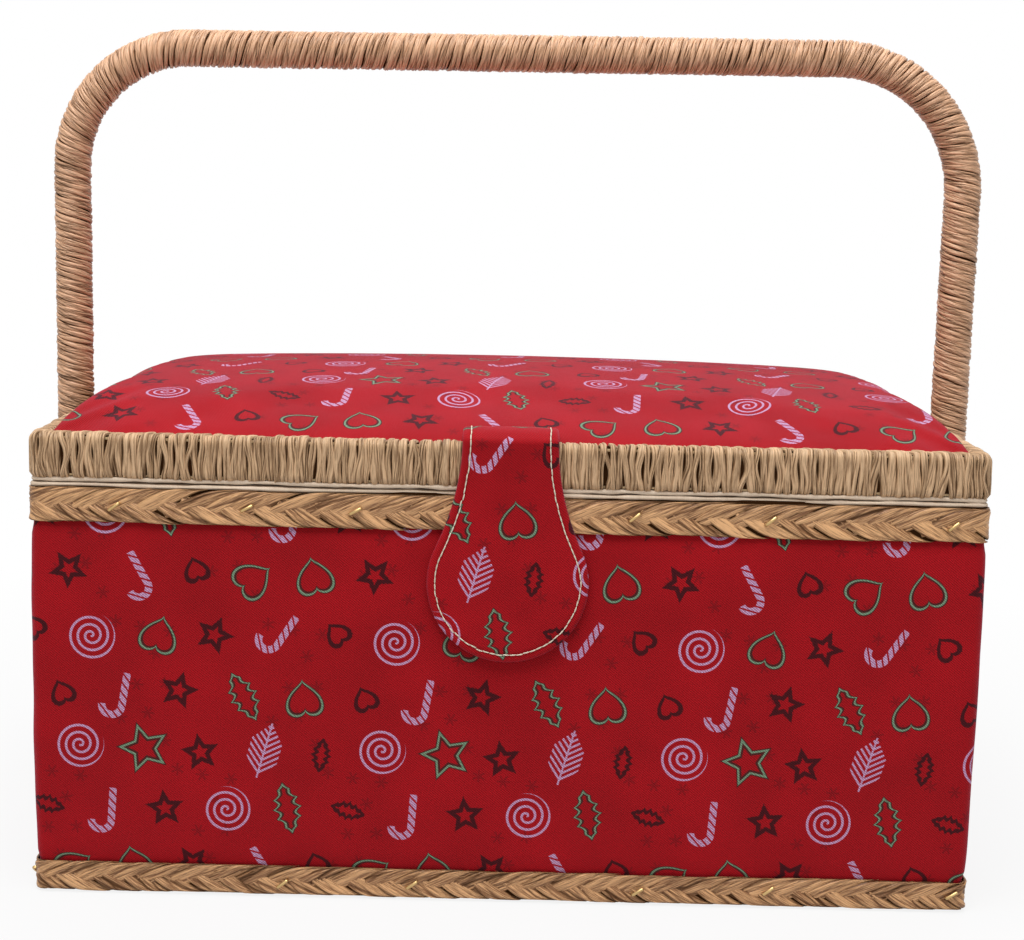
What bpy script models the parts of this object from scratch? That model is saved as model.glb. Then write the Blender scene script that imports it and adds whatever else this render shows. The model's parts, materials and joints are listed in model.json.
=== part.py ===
"""Fabric-covered sewing basket with straw plaits, a padded hinged lid, a wound handle and a closing tab.

Metres. +X runs along the front to the right, +Y to the back and +Z up. The basket stands on z = 0,
and x = y = 0 is the middle of its base.
"""

import math

import bmesh
import bpy
from mathutils import Matrix, Vector

for leftover in list(bpy.data.objects):
    bpy.data.objects.remove(leftover, do_unlink=True)

# Overall sizes of the basket
basket_width = 0.322
basket_depth = 0.230
rim_top_height = 0.160
corner_radius = 0.0035
inner_corner_radius = 0.0012
arc_steps = 4
clearance = 0.0003
overrun = 0.002

# Boards and battens of the box
board_thickness = 0.003
post_size = 0.009
post_chamfer = 0.004
fabric_thickness = 0.0008
bottom_cover_thickness = 0.001
lining_corner_radius = 0.015

# Straw plaits round the top and the foot of the box
plait_thickness = 0.0009
plait_relief = 0.0003
plait_scallop = 0.0005
plait_crossing_pitch = 0.018
top_plait_height = 0.0115
base_plait_height = 0.0098
base_plait_lift = 0.0005

# Rim of the lid, wound with straw, and the two cream edges of the seam under it
rim_height = 0.0146
rim_width = 0.0058
wrap_thickness = 0.0012
wrap_rib = 0.0003
wrap_roll = 0.002
rib_pitch = 0.0092
piping_height = 0.0016
piping_width = 0.007
piping_inset = 0.0007

# Padded top of the lid
crown_rise = 0.0125
crown_reach = 0.012
crown_levels = 7
crown_last_inset = 0.046
cushion_corner_radius = 0.0015
crown_corner_growth_share = 0.75
crown_edge_drop_share = 0.25

# Closing tab on the front of the lid
tab_neck_half = 0.016
tab_round_radius = 0.0272
tab_length = 0.0755
tab_flare_angle = math.radians(24.5)
tab_panel_thickness = 0.0007
tab_core_thickness = 0.0012
tab_core_inset = 0.0025
tab_root_thickness = 0.0016
tab_turn_clearance = 0.0005
magnet_radius = 0.006
tab_outline_steps = 8

# Hinges on the back
hinge_spacing = 0.190
hinge_width = 0.026
leaf_height = 0.0095
leaf_thickness = 0.0009
knuckle_radius = 0.0023
knuckle_width = 0.0094
pin_radius = 0.0010
stop_lug_reach = 0.006
lid_open_angle = math.radians(100)
screw_spacing = 0.017
screw_radius = 0.0010
screw_length = 0.0062
screw_head_radius = 0.0021
screw_head_height = 0.0011
round_steps = 12
screw_steps = 8

# Handle: a moulded core wound with straw, with flat feet that turn on bolts
handle_bar_rise = 0.1351
handle_side_gap = 0.0112
handle_left_bend = 0.046
handle_right_bend = 0.050
handle_left_drop = 0.0018
handle_wound_radius = 0.0071
handle_rib = 0.0005
handle_core_radius = 0.005
handle_rib_pitch = 0.0072
handle_rib_slant = 0.0018
handle_sides = 8
bend_steps = 6
sway_steps = 6
wrap_fade_stations = 4
pivot_drop = 0.0293
foot_half_width = 0.0075
foot_half_thickness = 0.002
foot_drop = 0.0085
foot_height_shares = (-1, -0.75, -0.4, 0.4, 0.9)
foot_width_shares = (0.45, 0.85, 1, 1, 0.95)
foot_roundness_shares = (0, 0, 0, 0, 0.15)
foot_top_rise = 0.006
sway_top_rise = 0.035
wound_end_rise = 0.0245
spacer_thickness = 0.0018
spacer_radius = 0.0065
bolt_radius = 0.0025
bolt_head_radius = 0.0055
bolt_head_height = 0.0028
bolt_dome_radius_shares = (0, 0.5, 0.9, 1)
bolt_dome_height_shares = (1, 0.85, 0.4, 0)
nut_radius = 0.0045
nut_height = 0.0032
nut_sides = 6

# Heights worked out from the sizes above
rim_bottom = rim_top_height - rim_height
lid_piping_bottom = rim_bottom - clearance - piping_height
body_piping_bottom = lid_piping_bottom - clearance - piping_height
body_top = body_piping_bottom - clearance
seam_middle = lid_piping_bottom - clearance / 2
board_bottom = bottom_cover_thickness + clearance
wall_bottom = board_bottom + board_thickness + clearance
top_plait_bottom = body_top - top_plait_height
pivot_height = body_top - pivot_drop
handle_bar_height = rim_top_height + handle_bar_rise
handle_half_span = basket_width / 2 + handle_side_gap

# Insets of each layer from the outline of the rim, which is also that of the plaits
plait_inset = plait_thickness
cover_inset = plait_inset + clearance
wall_inset = cover_inset + fabric_thickness + clearance
lining_inset = wall_inset + board_thickness + clearance
frame_inset = wrap_thickness + clearance
cushion_inset = rim_width + clearance
lid_board_inset = cushion_inset + fabric_thickness + clearance

front_wall_face = -basket_depth / 2 + wall_inset
side_wall_face = basket_width / 2 - wall_inset
cover_face = basket_width / 2 - cover_inset

parts = bpy.data.collections.new("sewing_basket")
cutters = bpy.data.collections.new("cutters")
bpy.context.scene.collection.children.link(parts)
bpy.context.scene.collection.children.link(cutters)


def make_material(name, color, roughness, metallic=0.0):
    material = bpy.data.materials.new(name)
    material.use_nodes = True
    shader = material.node_tree.nodes["Principled BSDF"]
    shader.inputs["Base Color"].default_value = (*color, 1.0)
    shader.inputs["Roughness"].default_value = roughness
    shader.inputs["Metallic"].default_value = metallic
    material.diffuse_color = (*color, 1.0)
    return material


red_fabric = make_material("red_fabric", (0.36, 0.012, 0.02), 0.85)
cream_fabric = make_material("cream_fabric", (0.72, 0.66, 0.54), 0.85)
board = make_material("board", (0.42, 0.29, 0.17), 0.8)
pine = make_material("pine", (0.55, 0.38, 0.2), 0.7)
pale_straw = make_material("pale_straw", (0.5, 0.36, 0.21), 0.6)
golden_straw = make_material("golden_straw", (0.46, 0.27, 0.11), 0.55)
foam = make_material("foam", (0.8, 0.76, 0.6), 0.95)
tan_plastic = make_material("tan_plastic", (0.35, 0.24, 0.14), 0.6)
steel = make_material("steel", (0.6, 0.6, 0.6), 0.35, 1.0)
brass = make_material("brass", (0.75, 0.55, 0.25), 0.3, 1.0)
magnet = make_material("magnet", (0.3, 0.3, 0.32), 0.4, 1.0)


def add_object(name, mesh, material, location=(0, 0, 0), as_cutter=False):
    """Links a mesh as a part, or as a hidden wire cutter when it has no material."""
    item = bpy.data.objects.new(name, mesh)
    item.location = location
    if as_cutter:
        cutters.objects.link(item)
        item.hide_render = True
        item.display_type = "WIRE"
        return item
    mesh.materials.append(material)
    parts.objects.link(item)
    return item


def add_bmesh(name, shape, material, location=(0, 0, 0), as_cutter=False):
    bmesh.ops.recalc_face_normals(shape, faces=shape.faces)
    mesh = bpy.data.meshes.new(name)
    shape.to_mesh(mesh)
    shape.free()
    return add_object(name, mesh, material, location, as_cutter)


def shade_round(item):
    item.data.shade_smooth()
    item.data.set_sharp_from_angle(angle=math.radians(35))


def boolean(item, other, operation="DIFFERENCE"):
    cut = item.modifiers.new(other.name, "BOOLEAN")
    cut.operation = operation
    cut.solver = "EXACT"
    if isinstance(other, bpy.types.Collection):
        cut.operand_type = "COLLECTION"
        cut.collection = other
    else:
        cut.object = other


def cutter_group(name):
    group = bpy.data.collections.new(name)
    cutters.children.link(group)
    return group


def hide_in_group(item, group):
    cutters.objects.unlink(item)
    group.objects.link(item)
    return item


# Flat boards, skins and rings with rounded corners


def rounded_box(half_width, half_depth, radius, bottom, top):
    """A block with its four upright edges rounded."""
    shape = bmesh.new()
    bmesh.ops.create_cube(shape, size=1)
    size = Vector((half_width * 2, half_depth * 2, top - bottom))
    bmesh.ops.scale(shape, vec=size, verts=shape.verts)
    bmesh.ops.translate(shape, vec=(0, 0, (top + bottom) / 2), verts=shape.verts)
    uprights = [edge for edge in shape.edges
                if abs(edge.verts[0].co.z - edge.verts[1].co.z) > size.z / 2]
    bmesh.ops.bevel(shape, geom=uprights, offset=radius, segments=arc_steps, profile=0.5,
                    affect="EDGES", offset_type="OFFSET")
    return shape


def inset_box(inset, bottom, top, radius=None):
    """A rounded block, set in from the rim's outline on every side."""
    if radius is None:
        radius = max(corner_radius - inset, inner_corner_radius)
    return rounded_box(basket_width / 2 - inset, basket_depth / 2 - inset, radius, bottom, top)


def end_faces(shape, upward):
    return [face for face in shape.faces if face.normal.z * upward > 0.5]


def add_skin(name, shape, thickness, material, open_top=True, open_bottom=True):
    """Turns a rounded block into a fabric skin that grows inwards from its faces."""
    shape.normal_update()
    doomed = []
    if open_top:
        doomed += end_faces(shape, 1)
    if open_bottom:
        doomed += end_faces(shape, -1)
    bmesh.ops.delete(shape, geom=doomed, context="FACES")
    item = add_bmesh(name, shape, material)
    skin = item.modifiers.new("thickness", "SOLIDIFY")
    skin.thickness = thickness
    skin.offset = -1
    skin.use_even_offset = True
    return item


def add_block(name, low, high, material, as_cutter=False):
    """A board given by its two opposite corners."""
    low = Vector(low)
    high = Vector(high)
    shape = bmesh.new()
    bmesh.ops.create_cube(shape, size=1)
    bmesh.ops.scale(shape, vec=high - low, verts=shape.verts)
    return add_bmesh(name, shape, material, (low + high) / 2, as_cutter)


def add_rod(name, radius, length, direction, centre, material, steps, as_cutter=False):
    """A round rod along a direction, with a flat facing each way across it."""
    shape = bmesh.new()
    turn = Vector((0, 0, 1)).rotation_difference(Vector(direction)).to_matrix().to_4x4()
    bmesh.ops.create_cone(shape, cap_ends=True, segments=steps, radius1=radius, radius2=radius,
                          depth=length, matrix=turn)
    item = add_bmesh(name, shape, material, centre, as_cutter)
    shade_round(item)
    return item


def add_turned(name, profile, direction, origin, material, steps):
    """A turned piece from (radius, height) points that run down its outer side."""
    mesh = bpy.data.meshes.new(name)
    points = [(radius, 0, height) for radius, height in profile]
    edges = [(index, index + 1) for index in range(len(points) - 1)]
    mesh.from_pydata(points, edges, [])
    item = add_object(name, mesh, material, origin)
    turn = item.modifiers.new("turn", "SCREW")
    turn.steps = steps
    turn.render_steps = steps
    turn.use_merge_vertices = True
    turn.merge_threshold = clearance / 10
    item.rotation_mode = "QUATERNION"
    item.rotation_quaternion = Vector((0, 0, 1)).rotation_difference(Vector(direction))
    return item


# Bands that run all round the basket


def outline_stations(pitch):
    """Places round an outline as (side, angle, share): each corner, then the straight after it."""
    stations = []
    for side in range(4):
        start = (side - 1) * math.pi / 2
        for step in range(arc_steps):
            stations.append((side, start + step * math.pi / 2 / arc_steps, 0))
        straight = (basket_width if side % 2 else basket_depth) - 2 * corner_radius
        count = max(2 * round(straight / pitch / 2), 1)
        for step in range(count):
            stations.append((side, start + math.pi / 2, step / count))
    return stations


def outline_point(station, inset):
    """A station's point on the rim's outline, set in. Deep insets keep a small corner radius."""
    side, angle, share = station
    radius = max(corner_radius - inset, inner_corner_radius)
    half_width = basket_width / 2 - inset - radius
    half_depth = basket_depth / 2 - inset - radius
    corners = [(half_width, -half_depth), (half_width, half_depth),
               (-half_width, half_depth), (-half_width, -half_depth)]
    here = Vector((*corners[side], 0))
    following = Vector((*corners[(side + 1) % 4], 0))
    return here.lerp(following, share) + Vector((math.cos(angle), math.sin(angle), 0)) * radius


def add_loft(name, rings, material, closed_path=True, caps=False):
    """Joins rings of points that all have the same count into one closed surface."""
    shape = bmesh.new()
    rows = [[shape.verts.new(point) for point in ring] for ring in rings]
    pairs = list(zip(rows, rows[1:]))
    if closed_path:
        pairs.append((rows[-1], rows[0]))
    count = len(rows[0])
    for row, following in pairs:
        for index in range(count):
            after = (index + 1) % count
            shape.faces.new((row[index], row[after], following[after], following[index]))
    if caps:
        shape.faces.new(rows[0])
        shape.faces.new(list(reversed(rows[-1])))
    return add_bmesh(name, shape, material)


def band_rings(inset, pitch, section):
    """Sweeps section(step), a list of (outward, height) points, round the basket."""
    rings = []
    for step, station in enumerate(outline_stations(pitch)):
        rings.append([outline_point(station, inset - out) + Vector((0, 0, height))
                      for out, height in section(step)])
    return rings


def add_plait(name, bottom, height):
    """A flat straw plait: its upper and lower strands swell by turns, so their lines meet in chevrons."""
    middle = bottom + height / 2
    edge = height / 2 - plait_scallop

    def section(step):
        upper = 1 if step % 2 else 0
        lower = 1 - upper
        swell = plait_thickness - plait_relief
        return [(0, middle - edge), (0, middle + edge),
                (swell / 2, middle + edge + plait_scallop * upper),
                (swell + plait_relief * upper, middle + height / 4),
                (swell + plait_relief * lower, middle - height / 4),
                (swell / 2, middle - edge - plait_scallop * lower)]

    return add_loft(name, band_rings(plait_inset, plait_crossing_pitch / 2, section), golden_straw)


def add_rim_wrap():
    """The straw wound over the rim: upright strands down its face, rolled over its top edge."""
    inner_face = wrap_thickness - rim_width
    inner_top = rim_height - wrap_thickness

    def section(step):
        rib = 0 if step % 2 else wrap_rib
        outer = wrap_thickness - rib
        return [(0, 0), (outer, 0), (outer, rim_height - wrap_roll),
                (outer - wrap_roll / 2, rim_height - rib),
                (inner_face, rim_height - rib), (inner_face, inner_top), (0, inner_top)]

    rings = band_rings(wrap_thickness, rib_pitch / 2, section)
    lifted = [[point + Vector((0, 0, rim_bottom)) for point in ring] for ring in rings]
    return add_loft("rim_wrap", lifted, pale_straw)


def add_piping(name, bottom):
    """A flat folded edge of cream cloth with a rounded outside, next to the seam."""
    top = bottom + piping_height
    fold = piping_height / 4

    def section(step):
        return [(-fold, bottom), (0, bottom + fold), (0, top - fold), (-fold, top),
                (-piping_width, top), (-piping_width, bottom)]

    add_loft(name, band_rings(piping_inset, basket_width, section), cream_fabric)


# The box under its fabric


def make_box():
    add_bmesh("bottom_cover", inset_box(cover_inset, 0, bottom_cover_thickness), cream_fabric)
    add_bmesh("base_board", inset_box(wall_inset, board_bottom, board_bottom + board_thickness), board)

    long_end = basket_width / 2 - wall_inset - post_size - clearance
    short_end = basket_depth / 2 - wall_inset - post_size - clearance
    outer_y = basket_depth / 2 - wall_inset
    inner_y = outer_y - board_thickness
    inner_x = side_wall_face - board_thickness
    walls = {}
    walls["front"] = add_block("front_wall", (-long_end, -outer_y, wall_bottom),
                               (long_end, -inner_y, body_top), board)
    walls["back"] = add_block("back_wall", (-long_end, inner_y, wall_bottom),
                              (long_end, outer_y, body_top), board)
    walls["left"] = add_block("left_wall", (-side_wall_face, -short_end, wall_bottom),
                              (-inner_x, short_end, body_top), board)
    walls["right"] = add_block("right_wall", (inner_x, -short_end, wall_bottom),
                               (side_wall_face, short_end, body_top), board)

    for side_name, side in (("left", -1), ("right", 1)):
        for end_name, end in (("front", -1), ("rear", 1)):
            add_post("corner_post_" + end_name + "_" + side_name, side, end)

    cover = add_skin("outer_cover", inset_box(cover_inset, board_bottom, body_top),
                     fabric_thickness, red_fabric)
    lining = add_skin("lining", inset_box(lining_inset, wall_bottom, body_top, lining_corner_radius),
                      fabric_thickness, cream_fabric, open_bottom=False)
    add_piping("body_piping", body_piping_bottom)
    return walls, cover, lining


def add_post(name, side, end):
    """A corner batten: its outer upright edge is rounded for the fabric, its inner one chamfered."""
    shape = bmesh.new()
    bmesh.ops.create_cube(shape, size=1)
    height = body_top - wall_bottom
    bmesh.ops.scale(shape, vec=(post_size, post_size, height), verts=shape.verts)
    outer = []
    inner = []
    for edge in shape.edges:
        middle = (edge.verts[0].co + edge.verts[1].co) / 2
        if abs(middle.z) > height / 4:
            continue
        if middle.x * side > 0 and middle.y * end > 0:
            outer.append(edge)
        if middle.x * side < 0 and middle.y * end < 0:
            inner.append(edge)
    bmesh.ops.bevel(shape, geom=outer, offset=corner_radius - wall_inset, segments=arc_steps,
                    profile=0.5, affect="EDGES", offset_type="OFFSET")
    bmesh.ops.bevel(shape, geom=inner, offset=post_chamfer, segments=1, profile=0.5,
                    affect="EDGES", offset_type="OFFSET")
    centre_x = side * (basket_width / 2 - wall_inset - post_size / 2)
    centre_y = end * (basket_depth / 2 - wall_inset - post_size / 2)
    add_bmesh(name, shape, pine, (centre_x, centre_y, wall_bottom + height / 2))


# The lid and its cushion


def crown_profile(inset_from_edge):
    """Height of the cushion above the rim's top, from how far in the point lies."""
    return crown_rise * (1 - math.exp(-inset_from_edge / crown_reach))


def crown_rings(margin, foot):
    """Rounded outlines, one above another, from the cushion's foot up its crown.

    margin is how far the surface lies inside the outside of the cover.
    """
    edge = cushion_inset + margin
    levels = [(0, foot), (0, rim_top_height - rim_height * crown_edge_drop_share - margin)]
    for level in range(1, crown_levels + 1):
        share = (level / crown_levels) ** 2
        inset = crown_last_inset * share
        levels.append((inset, rim_top_height + crown_profile(inset) - margin))
    rings = []
    for inset, height in levels:
        half_width = basket_width / 2 - edge - inset
        half_depth = basket_depth / 2 - edge - inset
        radius = cushion_corner_radius + inset * crown_corner_growth_share
        rings.append(rounded_ring(half_width, half_depth, radius, height))
    return rings


def rounded_ring(half_width, half_depth, radius, height):
    """Points of a rounded rectangle, with one more in the middle of each side."""
    ring = []
    for side in range(4):
        start = (side - 1) * math.pi / 2
        sign_x = 1 if side in (0, 1) else -1
        sign_y = -1 if side in (0, 3) else 1
        for step in range(arc_steps + 1):
            angle = start + step * math.pi / 2 / arc_steps
            ring.append(Vector((sign_x * (half_width - radius) + radius * math.cos(angle),
                                sign_y * (half_depth - radius) + radius * math.sin(angle), height)))
        middle = start + math.pi / 2
        ring.append(Vector((half_width * round(math.cos(middle)),
                            half_depth * round(math.sin(middle)), height)))
    return ring


def make_lid():
    frame_bottom = rim_bottom
    frame_top = rim_top_height - wrap_thickness - clearance
    strip_width = rim_width - frame_inset
    outer_x = basket_width / 2 - frame_inset
    outer_y = basket_depth / 2 - frame_inset
    inner_x = outer_x - strip_width
    inner_y = outer_y - strip_width

    outline = add_bmesh("lid_frame_outline",
                        inset_box(frame_inset, frame_bottom - overrun, frame_top + overrun),
                        None, as_cutter=True)
    side_end = inner_y - clearance
    strips = {}
    for name, end in (("front", -1), ("rear", 1)):
        low_y, high_y = sorted((end * inner_y, end * outer_y))
        strips[name] = add_block("lid_frame_" + name, (-outer_x, low_y, frame_bottom),
                                 (outer_x, high_y, frame_top), pine)
    for name, side in (("left", -1), ("right", 1)):
        low_x, high_x = sorted((side * inner_x, side * outer_x))
        strips[name] = add_block("lid_frame_" + name, (low_x, -side_end, frame_bottom),
                                 (high_x, side_end, frame_top), pine)
    for strip in strips.values():
        boolean(strip, outline, "INTERSECT")

    wrap = add_rim_wrap()
    lining_top = rim_bottom + fabric_thickness
    lid_board_bottom = lining_top + clearance
    lid_board_top = lid_board_bottom + board_thickness
    add_bmesh("lid_lining", inset_box(lid_board_inset, rim_bottom, lining_top, corner_radius),
              cream_fabric)
    add_bmesh("lid_board", inset_box(lid_board_inset, lid_board_bottom, lid_board_top,
                                     cushion_corner_radius), board)
    add_loft("foam_pad", crown_rings(fabric_thickness + clearance, lid_board_top + clearance),
             foam, closed_path=False, caps=True)
    cover = add_loft("cushion_cover", crown_rings(0, lid_board_bottom), red_fabric,
                     closed_path=False)
    close_crown(cover)
    add_piping("lid_piping", lid_piping_bottom)
    return strips, wrap


def close_crown(cover):
    """Closes the cover's top and gives the open sheet its thickness."""
    shape = bmesh.new()
    shape.from_mesh(cover.data)
    rims = [edge for edge in shape.edges if edge.is_boundary]
    top = max(vert.co.z for edge in rims for vert in edge.verts)
    upper = [edge for edge in rims if min(vert.co.z for vert in edge.verts) > top - clearance]
    bmesh.ops.contextual_create(shape, geom=upper)
    bmesh.ops.recalc_face_normals(shape, faces=shape.faces)
    lid_face = max(shape.faces, key=lambda face: face.calc_center_median().z)
    if lid_face.normal.z < 0:
        bmesh.ops.reverse_faces(shape, faces=shape.faces)
    shape.to_mesh(cover.data)
    shape.free()
    skin = cover.modifiers.new("thickness", "SOLIDIFY")
    skin.thickness = fabric_thickness
    skin.offset = -1
    skin.use_even_offset = True


# The closing tab


def tab_outline(shrink):
    """Right half of the tab, from its neck down: a concave flare, then most of a circle."""
    round_depth = tab_length - tab_round_radius
    radius = tab_round_radius - shrink
    join_depth = round_depth - radius * math.sin(tab_flare_angle)
    join_half = radius * math.cos(tab_flare_angle)
    neck = tab_neck_half - shrink
    points = []
    for step in range(tab_outline_steps):
        share = step / tab_outline_steps
        points.append((neck + (join_half - neck) * share ** 2, -join_depth * share))
    sweep = math.pi / 2 + tab_flare_angle
    for step in range(2 * tab_outline_steps + 1):
        angle = tab_flare_angle - sweep * step / (2 * tab_outline_steps)
        points.append((radius * math.cos(angle), -round_depth + radius * math.sin(angle)))
    return points


def add_tab_sheet(name, shrink, top_drop, thickness, centre_y, material):
    """A flat outline, filled and given its thickness, that hangs upright."""
    half = tab_outline(shrink)
    half[0] = (half[0][0], -top_drop)
    points = half + [(-x, z) for x, z in reversed(half[:-1])]
    curve = bpy.data.curves.new(name, "CURVE")
    curve.dimensions = "2D"
    curve.fill_mode = "BOTH"
    curve.extrude = thickness / 2
    line = curve.splines.new("POLY")
    line.points.add(len(points) - 1)
    for spot, (x, z) in zip(line.points, points):
        spot.co = (x, z, 0, 1)
    line.use_cyclic_u = True
    sheet = bpy.data.objects.new(name, curve)
    parts.objects.link(sheet)
    depsgraph = bpy.context.evaluated_depsgraph_get()
    mesh = bpy.data.meshes.new_from_object(sheet.evaluated_get(depsgraph))
    bpy.data.objects.remove(sheet, do_unlink=True)
    shape = bmesh.new()
    shape.from_mesh(mesh)
    bmesh.ops.remove_doubles(shape, verts=shape.verts, dist=clearance / 10)
    bmesh.ops.rotate(shape, cent=(0, 0, 0), matrix=Matrix.Rotation(math.pi / 2, 3, "X"),
                     verts=shape.verts)
    return add_bmesh(name, shape, material, (0, centre_y, tab_axis_height))


tab_thickness = 2 * tab_panel_thickness + tab_core_thickness + 2 * clearance
tab_back_face = -basket_depth / 2 - clearance
tab_axis_y = tab_back_face - tab_thickness / 2
tab_axis_height = rim_top_height + clearance + tab_root_thickness / 2
magnet_height = tab_axis_height - tab_length + tab_round_radius


def make_tab(front_wall):
    root_front = tab_axis_y + tab_thickness / 2 + tab_turn_clearance
    root_back = -basket_depth / 2 + rim_width
    add_block("tab_root", (-tab_neck_half, root_front, rim_top_height + clearance),
              (tab_neck_half, root_back, rim_top_height + clearance + tab_root_thickness), red_fabric)
    back_centre = tab_back_face - tab_panel_thickness / 2
    front_centre = tab_back_face - tab_thickness + tab_panel_thickness / 2
    add_tab_sheet("tab_back", 0, 0, tab_panel_thickness, back_centre, red_fabric)
    add_tab_sheet("tab_front", 0, 0, tab_panel_thickness, front_centre, red_fabric)
    core = add_tab_sheet("tab_stiffener", tab_core_inset, tab_core_inset, tab_core_thickness,
                         tab_axis_y, board)
    pocket = add_rod("tab_magnet_pocket", magnet_radius + clearance, tab_core_thickness + overrun,
                     (0, 1, 0), (0, tab_axis_y, magnet_height), None, 2 * round_steps, True)
    boolean(core, pocket)
    add_rod("tab_magnet", magnet_radius, tab_core_thickness, (0, 1, 0),
            (0, tab_axis_y, magnet_height), magnet, 2 * round_steps)
    wall_middle = front_wall_face + board_thickness / 2
    hole = add_rod("wall_magnet_hole", magnet_radius + clearance, board_thickness + overrun,
                   (0, 1, 0), (0, wall_middle, magnet_height), None, 2 * round_steps, True)
    boolean(front_wall, hole)
    add_rod("body_magnet", magnet_radius, board_thickness, (0, 1, 0),
            (0, wall_middle, magnet_height), magnet, 2 * round_steps)


# Hinges

hinge_face = basket_depth / 2 + clearance
hinge_axis_y = hinge_face + knuckle_radius
leaf_gap = knuckle_radius + clearance


def add_leaf(name, centre_x, upward, knuckles, with_stop):
    """A hinge leaf: a screwed plate, its knuckles round the pin, and on the lid's leaf a stop lug."""
    half = hinge_width / 2
    near = seam_middle + upward * leaf_gap
    far = near + upward * leaf_height
    low, high = sorted((near, far))
    plate = add_block(name, (centre_x - half, hinge_face, low),
                      (centre_x + half, hinge_face + leaf_thickness, high), brass)
    joined = cutter_group(name + "_knuckles")
    for index, (start, end) in enumerate(knuckles):
        middle = centre_x + (start + end) / 2
        barrel = add_rod(name + "_barrel_" + str(index), knuckle_radius, end - start, (1, 0, 0),
                         (middle, hinge_axis_y, seam_middle), None, round_steps, True)
        hide_in_group(barrel, joined)
        neck_low, neck_high = sorted((seam_middle, near + upward * clearance))
        neck = add_block(name + "_neck_" + str(index),
                         (centre_x + start, hinge_face, neck_low),
                         (centre_x + end, hinge_face + leaf_thickness, neck_high), None, True)
        hide_in_group(neck, joined)
    if with_stop:
        hide_in_group(add_stop_lug(name + "_lug", centre_x), joined)
    boolean(plate, joined, "UNION")
    bore = add_rod(name + "_bore", pin_radius + clearance, hinge_width + overrun, (1, 0, 0),
                   (centre_x, hinge_axis_y, seam_middle), None, round_steps, True)
    boolean(plate, bore)
    return plate


def add_stop_lug(name, centre_x):
    """A lug that points down against the body's leaf when the lid is fully open."""
    half_thickness = knuckle_radius - leaf_thickness - clearance
    shape = bmesh.new()
    bmesh.ops.create_cube(shape, size=1)
    reach = stop_lug_reach - pin_radius
    bmesh.ops.scale(shape, vec=(knuckle_width - overrun, reach, half_thickness * 2), verts=shape.verts)
    bmesh.ops.translate(shape, vec=(0, pin_radius + reach / 2, 0), verts=shape.verts)
    tilt = lid_open_angle - math.pi / 2
    bmesh.ops.rotate(shape, cent=(0, 0, 0), matrix=Matrix.Rotation(tilt, 3, "X"), verts=shape.verts)
    return add_bmesh(name, shape, None, (centre_x, hinge_axis_y, seam_middle), True)


def make_hinges(layers):
    """Two butt hinges over the seam at the back. layers are the pieces that the screws go into."""
    half = hinge_width / 2
    centre_half = knuckle_width / 2
    outer_knuckles = [(-half, -centre_half - clearance), (centre_half + clearance, half)]
    centre_knuckle = [(-centre_half, centre_half)]
    drills = {"body": cutter_group("body_hinge_drills"), "lid": cutter_group("lid_hinge_drills")}
    leaves = {"body": [], "lid": []}
    for side_name, side in (("left", -1), ("right", 1)):
        centre_x = side * hinge_spacing / 2
        leaves["body"].append(add_leaf("hinge_leaf_body_" + side_name, centre_x, -1,
                                       outer_knuckles, False))
        leaves["lid"].append(add_leaf("hinge_leaf_lid_" + side_name, centre_x, 1,
                                      centre_knuckle, True))
        add_rod("hinge_pin_" + side_name, pin_radius, hinge_width, (1, 0, 0),
                (centre_x, hinge_axis_y, seam_middle), steel, round_steps)
        for body_name, upward in (("body", -1), ("lid", 1)):
            height = seam_middle + upward * (leaf_gap + leaf_height / 2)
            for end_name, end in (("inner", -1), ("outer", 1)):
                spot = (centre_x + side * end * screw_spacing / 2, hinge_face + leaf_thickness, height)
                name = "_".join(("hinge_screw", body_name, side_name, end_name))
                add_screw(name, spot)
                drill_centre = (spot[0], spot[1] - screw_length / 2, height)
                drill = add_rod(name + "_drill", screw_radius + clearance,
                                screw_length + 2 * clearance + overrun, (0, 1, 0), drill_centre,
                                None, screw_steps, True)
                hide_in_group(drill, drills[body_name])
    for body_name in ("body", "lid"):
        for item in leaves[body_name] + layers[body_name]:
            boolean(item, drills[body_name])


def add_screw(name, spot):
    """A round-headed screw driven forwards from the back face of a leaf."""
    seat = clearance
    profile = [(0, seat + screw_head_height), (screw_head_radius / 2, seat + screw_head_height),
               (screw_head_radius, seat), (screw_radius, seat), (screw_radius, -screw_length),
               (0, -screw_length)]
    return add_turned(name, profile, (0, 1, 0), spot, steel, screw_steps)


# Handle


def foot_centre_x():
    """Middle of the flat foot, outside the fabric and its spacer."""
    return cover_face + clearance + spacer_thickness + clearance + foot_half_thickness


def leg_x(height):
    """The leg leans in from the span of the handle to its foot."""
    low = pivot_height + foot_top_rise
    high = pivot_height + sway_top_rise
    share = min(max((height - low) / (high - low), 0), 1)
    smooth = share * share * (3 - 2 * share)
    return foot_centre_x() + (handle_half_span - foot_centre_x()) * smooth


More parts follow.
